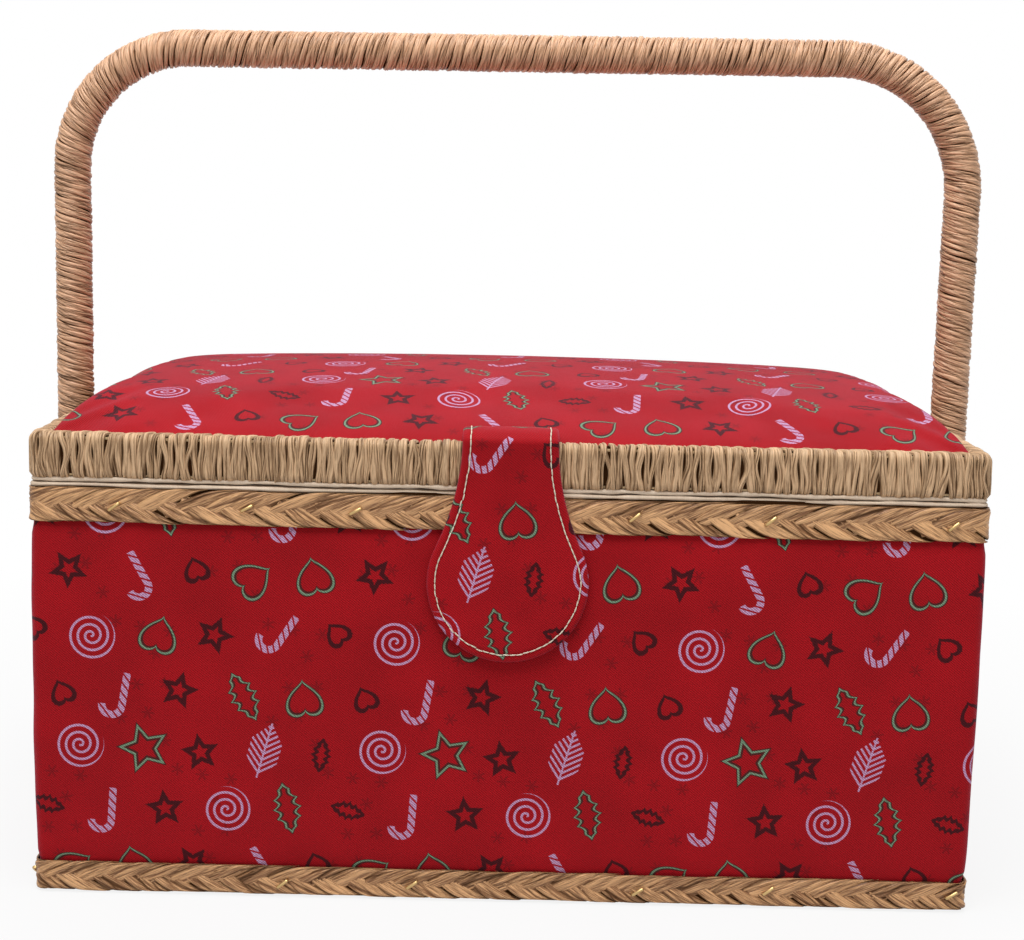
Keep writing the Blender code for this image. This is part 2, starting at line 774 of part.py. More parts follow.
def handle_route(first_height, steps_between):
    """Middle line of the handle from the left leg to the right one, as (point, tangent).

    steps_between(length) says how many steps a straight or a bend of that length gets.
    """
    sway_top = pivot_height + sway_top_rise
    points = []
    sway = max(steps_between(sway_top - first_height), sway_steps)
    for step in range(sway):
        height = first_height + (sway_top - first_height) * step / sway
        points.append((-leg_x(height), height))
    left_bar_height = handle_bar_height - handle_left_drop
    left_bend_start = left_bar_height - handle_left_bend
    right_bend_start = handle_bar_height - handle_right_bend
    add_line(points, (-handle_half_span, sway_top), (-handle_half_span, left_bend_start), steps_between)
    add_arc(points, (-handle_half_span + handle_left_bend, left_bend_start), handle_left_bend,
            math.pi, steps_between)
    add_line(points, (-handle_half_span + handle_left_bend, left_bar_height),
             (handle_half_span - handle_right_bend, handle_bar_height), steps_between)
    add_arc(points, (handle_half_span - handle_right_bend, right_bend_start), handle_right_bend,
            math.pi / 2, steps_between)
    add_line(points, (handle_half_span, right_bend_start), (handle_half_span, sway_top), steps_between)
    for step in range(sway + 1):
        height = sway_top + (first_height - sway_top) * step / sway
        points.append((leg_x(height), height))
    return points


def add_line(points, start, end, steps_between):
    count = max(steps_between(math.dist(start, end)), 1)
    for step in range(count):
        share = step / count
        points.append((start[0] + (end[0] - start[0]) * share, start[1] + (end[1] - start[1]) * share))


def add_arc(points, centre, radius, start_angle, steps_between):
    count = max(steps_between(radius * math.pi / 2), bend_steps)
    for step in range(count):
        angle = start_angle - math.pi / 2 * step / count
        points.append((centre[0] + radius * math.cos(angle), centre[1] + radius * math.sin(angle)))


def directions(points):
    """Unit tangents of a line of points, level at the very ends of the legs."""
    found = []
    for index in range(len(points)):
        before = points[max(index - 1, 0)]
        after = points[min(index + 1, len(points) - 1)]
        found.append(Vector((after[0] - before[0], 0, after[1] - before[1])).normalized())
    found[0] = Vector((0, 0, 1))
    found[-1] = Vector((0, 0, -1))
    return found


def tube_ring(point, tangent, half_across, half_deep, slant=0):
    """A ring round the handle's middle line; slant leans it along the line."""
    outward = Vector((0, 1, 0)).cross(tangent)
    ring = []
    for step in range(handle_sides):
        angle = 2 * math.pi * (step + 0.5) / handle_sides
        spot = outward * (half_across * math.cos(angle)) + Vector((0, half_deep * math.sin(angle), 0))
        ring.append(Vector((point[0], 0, point[1])) + spot + tangent * (slant * math.sin(angle)))
    return ring


def coarse(length):
    return 1


def fine(length):
    return 2 * round(length / handle_rib_pitch)


def make_handle():
    wound_start = pivot_height + wound_end_rise
    core_line = handle_route(wound_start, coarse)
    tangents = directions(core_line)
    flat = math.cos(math.pi / handle_sides)
    middle_rings = [tube_ring(point, tangent, handle_core_radius / flat, handle_core_radius / flat)
                    for point, tangent in zip(core_line, tangents)]
    bore_radius = (handle_core_radius + clearance) / flat
    bore_rings = [tube_ring(point, tangent, bore_radius, bore_radius)
                  for point, tangent in zip(core_line, tangents)]

    left_foot = foot_rings(wound_start, -1)
    right_foot = [list(ring) for ring in reversed(foot_rings(wound_start, 1))]
    core = add_loft("handle_core", left_foot + middle_rings + right_foot, tan_plastic,
                    closed_path=False, caps=True)
    for side in (-1, 1):
        hole = add_rod("foot_hole_" + str(side), bolt_radius + clearance,
                       2 * foot_half_thickness + overrun, (1, 0, 0),
                       (side * foot_centre_x(), 0, pivot_height), None, round_steps, True)
        boolean(core, hole)
    core.data.shade_smooth()
    add_wound_sleeve(wound_start, bore_rings)


def foot_rings(wound_start, side):
    """Rings from the rounded end of a flat foot up to the round core."""
    flat = math.cos(math.pi / handle_sides)
    tangent = Vector((0, 0, -side))
    rings = []
    for height_share, width_share, roundness_share in zip(foot_height_shares, foot_width_shares,
                                                          foot_roundness_shares):
        height = pivot_height + foot_drop * height_share
        deep = foot_half_width * width_share
        across = foot_half_thickness / flat
        across += (handle_core_radius / flat - across) * roundness_share
        rings.append(tube_ring((side * leg_x(height), height), tangent, across, deep))
    return rings


def add_wound_sleeve(wound_start, bore_rings):
    """The straw wound round the core, a rib for each lay, leaning as the lays do."""
    line = handle_route(wound_start, fine)
    tangents = directions(line)
    shape = bmesh.new()
    outer_rings = []
    last = len(line) - 1
    for index, (point, tangent) in enumerate(zip(line, tangents)):
        radius = handle_wound_radius - (handle_rib if index % 2 else 0)
        fade = min(index, last - index, wrap_fade_stations) / wrap_fade_stations
        outer_rings.append(tube_ring(point, tangent, radius, radius, handle_rib_slant * fade))
    outer = [[shape.verts.new(spot) for spot in ring] for ring in outer_rings]
    inner = [[shape.verts.new(spot) for spot in ring] for ring in bore_rings]
    for rows in (outer, inner):
        for row, following in zip(rows, rows[1:]):
            bridge(shape, row, following)
    bridge(shape, outer[0], inner[0])
    bridge(shape, outer[-1], inner[-1])
    add_bmesh("handle_wrap", shape, pale_straw)


def bridge(shape, row, following):
    count = len(row)
    for index in range(count):
        after = (index + 1) % count
        shape.faces.new((row[index], row[after], following[after], following[index]))


def make_pivots(walls, cover, lining):
    """Bolts through the side walls that the handle's feet turn on."""
    lining_face = basket_width / 2 - lining_inset - fabric_thickness
    foot_outer = foot_centre_x() + foot_half_thickness
    for name, side in (("left", -1), ("right", 1)):
        outward = (side, 0, 0)
        origin = (side * foot_outer, 0, pivot_height)
        tip = -(foot_outer - lining_face + clearance + nut_height)
        seat = clearance
        profile = [(bolt_head_radius * across, seat + bolt_head_height * up)
                   for across, up in zip(bolt_dome_radius_shares, bolt_dome_height_shares)]
        profile += [(bolt_radius, seat), (bolt_radius, tip), (0, tip)]
        add_turned("handle_bolt_" + name, profile, outward, origin, steel, round_steps)
        spacer_centre = side * (cover_face + clearance + spacer_thickness / 2)
        add_washer("handle_spacer_" + name, spacer_radius, spacer_thickness, spacer_centre, 2 * round_steps)
        nut_centre = side * (lining_face - clearance - nut_height / 2)
        add_washer("handle_nut_" + name, nut_radius, nut_height, nut_centre, nut_sides)
        drill = add_rod("pivot_drill_" + name, bolt_radius + clearance,
                        2 * (lining_inset + fabric_thickness) + overrun, (1, 0, 0),
                        (side * (side_wall_face - board_thickness / 2), 0, pivot_height), None,
                        round_steps, True)
        for item in (walls[name], cover, lining):
            boolean(item, drill)


def add_washer(name, radius, thickness, centre_x, steps):
    """A round or six-sided washer on the bolt's line, bored for the bolt."""
    washer = add_rod(name, radius, thickness, (1, 0, 0), (centre_x, 0, pivot_height), steel, steps)
    bore = add_rod(name + "_bore", bolt_radius + clearance, thickness + overrun, (1, 0, 0),
                   (centre_x, 0, pivot_height), None, round_steps, True)
    boolean(washer, bore)


walls, outer_cover, lining = make_box()
top_plait = add_plait("top_plait", top_plait_bottom, top_plait_height)
add_plait("base_plait", base_plait_lift, base_plait_height)
strips, rim_wrap = make_lid()
make_tab(walls["front"])
make_hinges({"body": [top_plait, outer_cover, walls["back"]], "lid": [rim_wrap, strips["rear"]]})
make_handle()
make_pivots(walls, outer_cover, lining)
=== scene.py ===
"""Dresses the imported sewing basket: printed cloth, straw plaits and windings, lights and a camera."""

import json
from math import ceil, cos, hypot, pi, radians, sin, tau

import bmesh
import bpy
import numpy as np
from mathutils import Matrix, Vector


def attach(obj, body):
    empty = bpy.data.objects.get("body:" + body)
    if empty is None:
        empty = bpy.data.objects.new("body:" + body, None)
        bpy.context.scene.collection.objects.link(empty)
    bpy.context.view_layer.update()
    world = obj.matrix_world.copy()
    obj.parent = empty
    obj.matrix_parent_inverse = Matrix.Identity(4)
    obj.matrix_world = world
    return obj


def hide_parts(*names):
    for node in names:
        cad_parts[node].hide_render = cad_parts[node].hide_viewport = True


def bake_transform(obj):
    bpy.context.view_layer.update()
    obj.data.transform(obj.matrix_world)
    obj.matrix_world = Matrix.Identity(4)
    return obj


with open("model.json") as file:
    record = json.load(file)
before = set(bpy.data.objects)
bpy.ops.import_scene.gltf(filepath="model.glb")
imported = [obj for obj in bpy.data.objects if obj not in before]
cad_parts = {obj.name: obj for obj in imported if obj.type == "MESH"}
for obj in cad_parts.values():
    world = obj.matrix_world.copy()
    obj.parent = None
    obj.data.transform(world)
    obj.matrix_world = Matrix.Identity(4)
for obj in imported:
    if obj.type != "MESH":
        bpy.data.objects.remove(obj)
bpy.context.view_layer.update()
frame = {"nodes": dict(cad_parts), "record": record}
rng = np.random.default_rng(7)

MM = 0.001


def node_box(name):
    """Lowest and highest corner of a CAD node at rest."""
    node = frame["nodes"][name]
    corners = np.array([node.matrix_world @ Vector(corner) for corner in node.bound_box])
    return corners.min(0), corners.max(0)


# Sizes read from the CAD part, in metres
(_, _, RIM_BOTTOM), (HALF_WIDTH, HALF_DEPTH, RIM_TOP) = node_box("rim_wrap")
(_, _, BOX_BOTTOM), (cover_half_width, _, BODY_TOP) = node_box("outer_cover")
(_, _, lining_bottom), (lining_half_width, _, _) = node_box("lining")
(_, TAB_FRONT_Y, tab_bottom), (TAB_ROUND, _, TAB_HINGE_Z) = node_box("tab_front")
(_, _, HANDLE_WOUND_START), (handle_outside, HANDLE_RADIUS, handle_top) = node_box("handle_wrap")
TAB_NECK_HALF = node_box("tab_root")[1][0]
TAB_BACK_Y = node_box("tab_back")[1][1]
TAB_HINGE_Y = (TAB_FRONT_Y + TAB_BACK_Y) / 2
TAB_HALF_THICK = (TAB_BACK_Y - TAB_FRONT_Y) / 2
TAB_LENGTH = TAB_HINGE_Z - tab_bottom
HANDLE_BAR = handle_top - HANDLE_RADIUS
HANDLE_SPAN = handle_outside - HANDLE_RADIUS
HANDLE_FOOT_HALF_THICK = 0.0023
HANDLE_FOOT = node_box("handle_spacer_right")[1][0] + HANDLE_FOOT_HALF_THICK

# Sizes that only the finish has, in metres
FABRIC = 0.0008
CORNER = 0.0035
TIGHT_CORNER = 0.0012
CLOTH_LIFT = 0.0004
CLOTH_INSET = HALF_WIDTH - cover_half_width - CLOTH_LIFT
LINING_INSET = HALF_WIDTH - lining_half_width + FABRIC
LINING_CORNER = 0.015
FLOOR_TOP = lining_bottom + FABRIC
CUSHION_SEAM_INSET = 0.0051
CUSHION_HALF_X = HALF_WIDTH - CUSHION_SEAM_INSET
CUSHION_HALF_Y = HALF_DEPTH - CUSHION_SEAM_INSET
CUSHION_FOOT = RIM_TOP - 0.0036
CUSHION_CORNER = 0.002
SKIRT_FOOT = RIM_BOTTOM + 0.002


# Meshes made of grids of points


def new_object(name, data):
    item = bpy.data.objects.new(name, data)
    bpy.context.scene.collection.objects.link(item)
    return item


class Strips:
    """Collects open grids of points, each with cloth coordinates in mm and a tone, for one mesh."""

    def __init__(self):
        self.parts = []
        self.total = 0

    def add(self, grid, coords, tone=0.5):
        rows, columns = grid.shape[:2]
        index = self.total + np.arange(rows * columns).reshape(rows, columns)
        quads = np.stack([index[:-1, :-1], index[:-1, 1:], index[1:, 1:], index[1:, :-1]], -1)
        coords = np.broadcast_to(coords, (rows, columns, 2)).reshape(-1, 2)
        tones = np.broadcast_to(tone, (rows, columns)).ravel()
        self.parts.append((grid.reshape(-1, 3), coords, tones, quads.reshape(-1, 4)))
        self.total += rows * columns

    def build(self, name, material):
        *values, faces = (np.concatenate(parts) for parts in zip(*self.parts))
        points, coords, tones = (value.astype(np.float32) for value in values)
        corners = faces.astype(np.int32).ravel()
        mesh = bpy.data.meshes.new(name)
        mesh.vertices.add(len(points))
        mesh.vertices.foreach_set("co", points.ravel())
        mesh.loops.add(len(corners))
        mesh.loops.foreach_set("vertex_index", corners)
        mesh.polygons.add(len(faces))
        mesh.polygons.foreach_set("loop_start", np.arange(0, len(corners), 4, dtype=np.int32))
        mesh.update(calc_edges=True)
        mesh.uv_layers.new(name="cloth").data.foreach_set("uv", coords[corners].ravel())
        mesh.attributes.new("tone", "FLOAT", "POINT").data.foreach_set("value", tones)
        mesh.validate()
        mesh.shade_smooth()
        mesh.materials.append(material)
        return new_object(name, mesh)


def surface(name, material, *grids):
    """One object from grids of points, each given with its cloth coordinates."""
    strips = Strips()
    for points, coords in grids:
        strips.add(points, coords)
    return strips.build(name, material)


def place(item, body, slot, *nodes):
    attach(item, body)
    if nodes:
        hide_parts(*nodes)
    return item


def pairs(across, along):
    """Cloth coordinates in mm from two arrays that broadcast together."""
    return np.stack(np.broadcast_arrays(across, along), -1) / MM


def travelled(points):
    """How far along a line each of its points lies."""
    steps = np.linalg.norm(np.diff(points, axis=0), axis=1)
    return np.append(0, np.cumsum(steps))


def smooth_step(share):
    return share * share * (3 - 2 * share)


# The outline that the rim, the plaits and the cloth follow


def outline_knots():
    """Distances at which sides and corners start, with the corner's quadrant and the angle there."""
    quarter = CORNER * pi / 2
    x, y = HALF_WIDTH - CORNER, HALF_DEPTH - CORNER
    lengths = [0, x, quarter, 2 * y, quarter, 2 * x, quarter, 2 * y, quarter, x]
    centres = [(0, 1), (-1, 1), (-1, 1), (-1, -1), (-1, -1), (1, -1), (1, -1), (1, 1), (1, 1), (0, 1)]
    angles = [1, 1, 2, 2, 3, 3, 4, 4, 5, 5]
    return np.cumsum(lengths), np.array(centres), np.array(angles) * pi / 2


KNOTS = outline_knots()
PERIMETER = KNOTS[0][-1]


def edge_point(distance, half_width, half_depth, radius, height):
    """Points at a distance round the basket from the middle of its back, on a rounded rectangle."""
    lengths, centres, angles = KNOTS
    distance = np.asarray(distance, float) % PERIMETER
    angle = np.interp(distance, lengths, angles)
    x = np.interp(distance, lengths, centres[:, 0]) * (half_width - radius) + radius * np.cos(angle)
    y = np.interp(distance, lengths, centres[:, 1]) * (half_depth - radius) + radius * np.sin(angle)
    return np.stack(np.broadcast_arrays(x, y, height), -1)


def outline(distance, inset, height):
    """Points on the rim's outline, set in. Deep insets keep a small corner radius."""
    inset = np.asarray(inset, float)
    radius = np.maximum(CORNER - inset, TIGHT_CORNER)
    return edge_point(distance, HALF_WIDTH - inset, HALF_DEPTH - inset, radius, height)


def around(step, fewest=8):
    """A row of distances round the basket, closer together in its corners."""
    spots = [0.0]
    for low, high in zip(KNOTS[0], KNOTS[0][1:]):
        parts = max(ceil((high - low) / step), fewest)
        spots.extend(low + (high - low) * np.arange(1, parts + 1) / parts)
    return np.array([spots])


def soft_noise(x, y, seed, length, waves=9, peak=4):
    """Smooth noise, mostly between -1 and 1, from a few waves that run at odd angles."""
    draws = np.random.default_rng(seed)
    total = 0
    for _ in range(waves):
        angle = draws.uniform(0, tau)
        scale = tau / (length * draws.uniform(0.6, 1.8))
        total = total + np.sin((x * cos(angle) + y * sin(angle)) * scale + draws.uniform(0, tau))
    return total / peak


def wander(along, seed, length):
    """Smooth noise along one line, which closes when it goes once round the basket."""
    reach = PERIMETER / tau
    turn = np.asarray(along) / reach
    return soft_noise(np.cos(turn) * reach, np.sin(turn) * reach, seed, length)


# Shader graphs


def operation(name, backwards=False):
    """A method that makes a math node from its field and the values that it is given."""
    def apply(field, *others):
        values = (*others, field) if backwards else (field, *others)
        return field.graph.math(name, *values)
    return apply


class Field:
    """A shader value that takes arithmetic."""

    def __init__(self, graph, socket):
        self.graph = graph
        self.socket = socket

    __add__ = __radd__ = operation("ADD")
    __sub__ = operation("SUBTRACT")
    __rsub__ = operation("SUBTRACT", backwards=True)
    __mul__ = __rmul__ = operation("MULTIPLY")
    __truediv__ = operation("DIVIDE")
    __abs__ = operation("ABSOLUTE")
    above = operation("GREATER_THAN")
    below = operation("LESS_THAN")
    larger = operation("MAXIMUM")
    smaller = operation("MINIMUM")
    modulo = operation("FLOORED_MODULO")
    floor = operation("FLOOR")
    root = operation("SQRT")
    sine = operation("SINE")
    cosine = operation("COSINE")
    arctan2 = operation("ARCTAN2")

    def clamp(self, factor=1.0, offset=0.0):
        """The value * factor + offset, held between 0 and 1."""
        return self.graph.math("MULTIPLY_ADD", self, factor, offset, use_clamp=True)


class Graph:
    """Short calls that add nodes to one material or world."""

    def __init__(self, owner):
        self.owner = owner
        owner.use_nodes = True
        self.tree = owner.node_tree

    def put(self, socket, value):
        if isinstance(value, Field):
            self.tree.links.new(value.socket, socket)
        else:
            socket.default_value = value

    def field(self, kind, inputs=(), output=0, **settings):
        """An output of a new node whose inputs are given as pairs of a name or number and a value."""
        made = self.tree.nodes.new(kind)
        for key, value in settings.items():
            setattr(made, key, value)
        for key, value in inputs:
            self.put(made.inputs[key], value)
        return Field(self, made.outputs[output])

    def math(self, name, *values, **settings):
        return self.field("ShaderNodeMath", enumerate(values), operation=name, **settings)

    def mix(self, factor, first, second):
        """A mix of two colours. A plain colour is three numbers."""
        colours = ((*colour, 1.0) if isinstance(colour, tuple) else colour for colour in (first, second))
        return self.field("ShaderNodeMix", zip(("Factor", 6, 7), (factor, *colours)), 2, data_type="RGBA")

    def shade(self, colour, factor):
        """A colour times a brightness."""
        return self.field("ShaderNodeVectorMath", ((0, colour), ("Scale", factor)), operation="SCALE")

    def combine(self, x, y, z=0.0):
        return self.field("ShaderNodeCombineXYZ", enumerate((x, y, z)))

    def separate(self, vector):
        made = self.field("ShaderNodeSeparateXYZ", ((0, vector),)).socket.node
        return [Field(self, socket) for socket in made.outputs]

    def cloth(self):
        """Cloth coordinates in mm: across and along."""
        return self.separate(self.field("ShaderNodeUVMap", uv_map="cloth"))[:2]

    def tone(self):
        return self.field("ShaderNodeAttribute", (), "Fac", attribute_name="tone")

    def object_point(self):
        return self.separate(self.field("ShaderNodeTexCoord", (), "Object"))

    def noise(self, point, scale=1.0, detail=2.0, roughness=0.5):
        vector = self.combine(*point)
        inputs = (("Vector", vector), ("Scale", scale), ("Detail", detail), ("Roughness", roughness))
        return self.field("ShaderNodeTexNoise", inputs, "Fac")

    def random(self, vector):
        """A random value and three more for each whole-number vector."""
        value = self.field("ShaderNodeTexWhiteNoise", (("Vector", vector),), "Value", noise_dimensions="3D")
        return value, self.separate(Field(self, value.socket.node.outputs["Color"]))

    def show_mix(self, output, share, first, second):
        seen = self.field("ShaderNodeMixShader", enumerate((share, first, second)))
        self.put(self.tree.nodes[output].inputs["Surface"], seen)

    def finish(self, colour, roughness, height=None, distance=0.0, strength=1.0, **inputs):
        if height is not None:
            bump = (("Height", height), ("Distance", distance), ("Strength", strength))
            inputs["Normal"] = self.field("ShaderNodeBump", bump)
        inputs.update({"Base_Color": colour, "Roughness": roughness})
        shader = self.tree.nodes["Principled BSDF"]
        for key, value in inputs.items():
            self.put(shader.inputs[key.replace("_", " ")], value)
        return self.owner


def material_graph(name):
    return Graph(bpy.data.materials.new(name))


# The printed cloth: its motifs are lines at a distance from simple outlines, in mm

PRINT_CELL = 20.6
DOT_CELL = 10.3
PRINT_REPEAT = 5
PRINT_JITTER = 3.4
ROW_SHIFT = 0.4
STAR_OUTER, STAR_INNER = 8.0, 3.8
HEART_SIZE = 6.0
LEAF_HALF_LENGTH, LEAF_HALF_WIDTH = 8.6, 4.6
SMALL_SHARE = 0.62
GREEN_HALF, GREEN_EDGE_HALF, GREEN_EDGE_SHIFT, MAROON_HALF = 0.34, 0.90, 0.18, 0.78
TWILL_PITCH = 0.84
RED = (0.36, 0.0026, 0.0070)
RED_DEEP = (0.30, 0.0020, 0.0055)
EDGE_GREEN = (0.018, 0.012, 0.010)
PALE_GREEN = (0.17, 0.28, 0.18)
MAROON = (0.030, 0.003, 0.005)
LILAC = (0.52, 0.33, 0.53)
SHEEN_TINT = (1.0, 0.58, 0.86, 1.0)


def turned(x, y, angle):
    cosine, sine = angle.cosine(), angle.sine()
    return x * cosine + y * sine, y * cosine - x * sine


def span(x, y):
    return (x * x + y * y).root()


def folded(x, y, arms):
    """Radius, and the angle from the nearest of so many arms."""
    sector = tau / arms
    return span(x, y), abs((y.arctan2(x) + sector / 2).modulo(sector) - sector / 2)


def line(distance, half, soft=0.10):
    """1 on a line of that half width, 0 off it."""
    return abs(distance).clamp(-1 / soft, half / soft + 0.5)


def star(x, y, arms=5):
    radius, fold = folded(x, y, arms)
    inner_x, inner_y = STAR_INNER * cos(pi / arms), STAR_INNER * sin(pi / arms)
    length = hypot(STAR_OUTER - inner_x, inner_y)
    forward = (radius * fold.cosine() - STAR_OUTER) * (inner_y / length)
    return forward + radius * fold.sine() * ((STAR_OUTER - inner_x) / length)


def heart(x, y, squash=1.15, dip=0.72, shift=0.2):
    across = x / HEART_SIZE
    up = y * (squash / HEART_SIZE) - abs(across).root() * dip + shift
    return (span(across, up) - 1) * HEART_SIZE


def leaf(x, y, spines=2.5, depth=0.42):
    """A holly leaf: an arc between each two of its spines."""
    along = x / LEAF_HALF_LENGTH
    scallops = abs((along * (spines * pi)).sine())
    return abs(y) - (1 - along * along) * (1 - depth * scallops) * LEAF_HALF_WIDTH


def swirl(x, y, pitch=2.5, outer=8.2, half=0.42):
    radius = span(x, y)
    coil = (radius - y.arctan2(x) * (pitch / tau)).modulo(pitch) - pitch / 2
    return line(coil, half) * radius.below(outer)


def cane(x, y, foot=-8.5, bend=3.4, half=1.25, stripe_rate=2.1):
    x, y = x + bend / 2, y - bend / 2
    upper = y.above(bend)
    hook = span(x - bend, y - bend) - bend
    stripes = ((x + y) * stripe_rate).sine().clamp(4.0, 3.0)
    return line(upper * abs(hook) + (1 - upper) * abs(x), half) * stripes * y.above(foot)


def sprig(x, y, half_length=10.0, pitch=2.3, reach=5.4, slant=0.9, squeeze=0.74):
    side = abs(y)
    needles = ((x + side * slant).modulo(pitch) - pitch / 2) * squeeze
    taper = ((1 - abs(x) / half_length) * (reach * 1.5)).smaller(reach)
    fronds = line(needles, 0.36) * (taper - side).clamp(8.0)
    return fronds.larger(line(side, 0.30) * abs(x).below(half_length))


def flake(x, y, reach=2.3, half=0.34):
    """A faint six-armed crystal."""
    radius, fold = folded(x, y, 6)
    return line(radius * fold.sine(), half, 0.3) * radius.below(reach)


def print_cell(u, v, cell, seed):
    """Local coordinates in a jittered, turned cell, its column and row, and two random values."""
    row_value = v / cell
    row = row_value.floor()
    column_value = u / cell + row * ROW_SHIFT
    column = column_value.floor()
    key = u.graph.combine(column.modulo(PRINT_REPEAT), row.modulo(PRINT_REPEAT), seed)
    value, (turn, jitter_x, jitter_y) = u.graph.random(key)
    x = (column_value - column - 0.5) * cell - (jitter_x - 0.5) * PRINT_JITTER
    y = (row_value - row - 0.5) * cell - (jitter_y - 0.5) * PRINT_JITTER
    x, y = turned(x, y, turn * tau)
    return x, y, column, row, value, jitter_x


def picked(value, shapes, x, y):
    """One of three shapes, as a random value picks it."""
    first, last = value.below(0.34), value.above(0.67)
    picks = (first, 1 - first - last, last)
    return sum(shape(x, y) * pick for shape, pick in zip(shapes, picks))


def printed_colour(u, v):
    """Red with faint crystals, small maroon outlines, and large ones in green or lilac."""
    graph = u.graph
    x, y, column, row, value, second = print_cell(u, v, PRINT_CELL, 3.0)
    kind = (column + row * 2).modulo(PRINT_REPEAT)
    either = kind.above(3.5)
    first_half = second.above(0.5)
    green = kind.below(0.5) + either * first_half
    lilac = abs(kind - 2).below(0.5) + either * (1 - first_half)
    small = 1 - lilac - green
    scale = 1 - small * (1 - SMALL_SHARE)

    distance = picked(value, (star, heart, leaf), x / scale, y / scale) * scale
    rough = graph.noise((u, v), 1.7, 3.0, 0.7) - 0.5
    small_line = line(distance + rough * 1.1, MAROON_HALF, 0.28) * small
    green_edge = line(distance + GREEN_EDGE_SHIFT, GREEN_EDGE_HALF, 0.16) * green
    green_line = line(distance, GREEN_HALF, 0.16) * green
    lilac_mark = picked(value, (swirl, cane, sprig), x, y) * lilac
    dot_x, dot_y, _, _, dot_value, _ = print_cell(u + 5.0, v + 3.0, DOT_CELL, 9.0)
    dots = flake(dot_x, dot_y) * dot_value.above(0.60)

    broad = graph.noise((u, v), 0.035, 2.0)
    colour = graph.mix(broad.clamp(3.0, -1.0), RED, RED_DEEP)
    layers = ((dots * 0.34, MAROON), (small_line * 0.93, MAROON), (green_edge * 0.85, EDGE_GREEN),
              (green_line * 0.92, PALE_GREEN), (lilac_mark * rough.clamp(1.4, 0.82), LILAC))
    for share, ink in layers:
        colour = graph.mix(share, colour, ink)
    return colour


def printed_cloth():
    graph = material_graph("printed_cotton")
    u, v = graph.cloth()
    rate = tau / TWILL_PITCH
    twill = ((u * 0.8 + v) * rate).sine()
    warp = ((u * 1.25 - v) * rate).sine()
    grain = graph.noise((u, v), 2.6, 2.0, 0.6) - 0.5
    weave = twill * 0.40 + warp * 0.15 + grain * 1.2
    colour = graph.shade(printed_colour(u, v), 1 + weave * 0.85)
    return graph.finish(colour, 0.8, weave, 0.00010, 0.9, Sheen_Weight=0.19, Sheen_Roughness=0.4,
                        Sheen_Tint=SHEEN_TINT, Specular_IOR_Level=0.15)


def plain_cloth(name, pale, dark, pitch=0.55):
    graph = material_graph(name)
    u, v = graph.cloth()
    rate = tau / pitch
    over = (u * rate).sine() * (v * rate).sine()
    slub = graph.noise((u * 0.25, v * 2.0)) + graph.noise((u * 2.0, v * 0.25))
    broad = graph.noise((u, v), 0.04)
    level = (over * 0.18 + slub * 0.5 + broad * 0.5).clamp(1.2, -0.3)
    colour = graph.mix(level, dark, pale)
    return graph.finish(colour, 0.88, over * 0.5 + slub * 0.5, 0.00008, 0.7, Sheen_Weight=0.12,
                        Specular_IOR_Level=0.25)


# Straw, wood, plastic and metal

RIM_STRAND_HALF, PLAIT_STRAND_HALF, HANDLE_STRAND_HALF = 1.3, 3.0, 1.2
# A dark straw colour, used both for random darker patches in the straw and as painted shade
STRAW_PATCH_AND_SHADE = (0.040, 0.016, 0.006)


def straw(name, pale, middle, half, roughness=0.5, edge=0.8):
    """Straw of a half width in mm, with fibres along it. Its sides and its creases are darkened as painted
    shade, and tone 0 is painted shade for the gaps between strands.
    """
    graph = material_graph(name)
    across, along = graph.cloth()
    tone = graph.tone()
    fine = graph.noise((across * 2.8, along * 0.13), 1.0, 3.0, 0.65)
    coarse = graph.noise((across * 1.3, along * 0.06, 7.0))
    patch = graph.noise((across * 0.3, along * 0.12, 13.0))
    colour = graph.mix((fine * 2.3 + coarse * 0.8 + tone * 0.7).clamp(1.9, -3.2), middle, pale)
    colour = graph.mix(patch.clamp(-3.2, 1.35) * 0.25, colour, STRAW_PATCH_AND_SHADE)
    # Painted shade: the strand's sides, where it meets or runs under its neighbours, and its creases are
    # darkened, tone 0 is all shade, and no reflection is given where shade is painted
    side = abs(across).clamp(4.0 / half, -4.0 * edge)
    crease = tone.clamp(-2.6, 1.05)
    shade_sheet = tone.clamp(-60.0, 1.0)
    shadow = (side * 0.75).larger(crease * 0.85).larger(shade_sheet)
    colour = graph.mix(shadow, colour, STRAW_PATCH_AND_SHADE)
    return graph.finish(colour, roughness, fine * 0.8 + coarse * 0.8, 0.00035, 1.0,
                        Specular_IOR_Level=(1 - shadow) * 0.5)


def solid(name, colour, dark, roughness, metallic=0.0, grain=(60.0, 60.0, 60.0), bump=0.0001,
          mottle=0.6):
    """Wood, board, plastic or metal, with a grain that stretches along one axis."""
    graph = material_graph(name)
    point = [value * rate for value, rate in zip(graph.object_point(), grain)]
    fine = graph.noise(point, 10.0, 4.0, 0.6)
    broad = graph.noise(point, 1.5, 2.0)
    level = (fine * 0.5 + broad * 0.5).clamp(1.6, -0.3)
    tinted = graph.mix(level * mottle, colour, dark)
    return graph.finish(tinted, fine.clamp(0.25, roughness - 0.12), fine, bump, 0.6, Metallic=metallic)


PRINTED = printed_cloth()
CREAM = plain_cloth("cream_cotton", (0.78, 0.64, 0.50), (0.54, 0.40, 0.28))
THREAD = plain_cloth("cream_thread", (0.80, 0.74, 0.60), (0.60, 0.50, 0.37), 0.35)
PALE_STRAW = straw("pale_straw_lay", (0.68, 0.445, 0.255), (0.27, 0.152, 0.070), RIM_STRAND_HALF)
TAN_STRAW = straw("tan_straw_lay", (0.80, 0.475, 0.285), (0.37, 0.19, 0.094), HANDLE_STRAND_HALF, 0.42)
GOLD_STRAW = straw("golden_straw_plait", (0.76, 0.425, 0.195), (0.23, 0.094, 0.030), PLAIT_STRAND_HALF,
                   0.38, 0.76)
STAPLE_WIRE = solid("staple_wire", (0.72, 0.50, 0.22), (0.18, 0.11, 0.05), 0.35, 1.0)

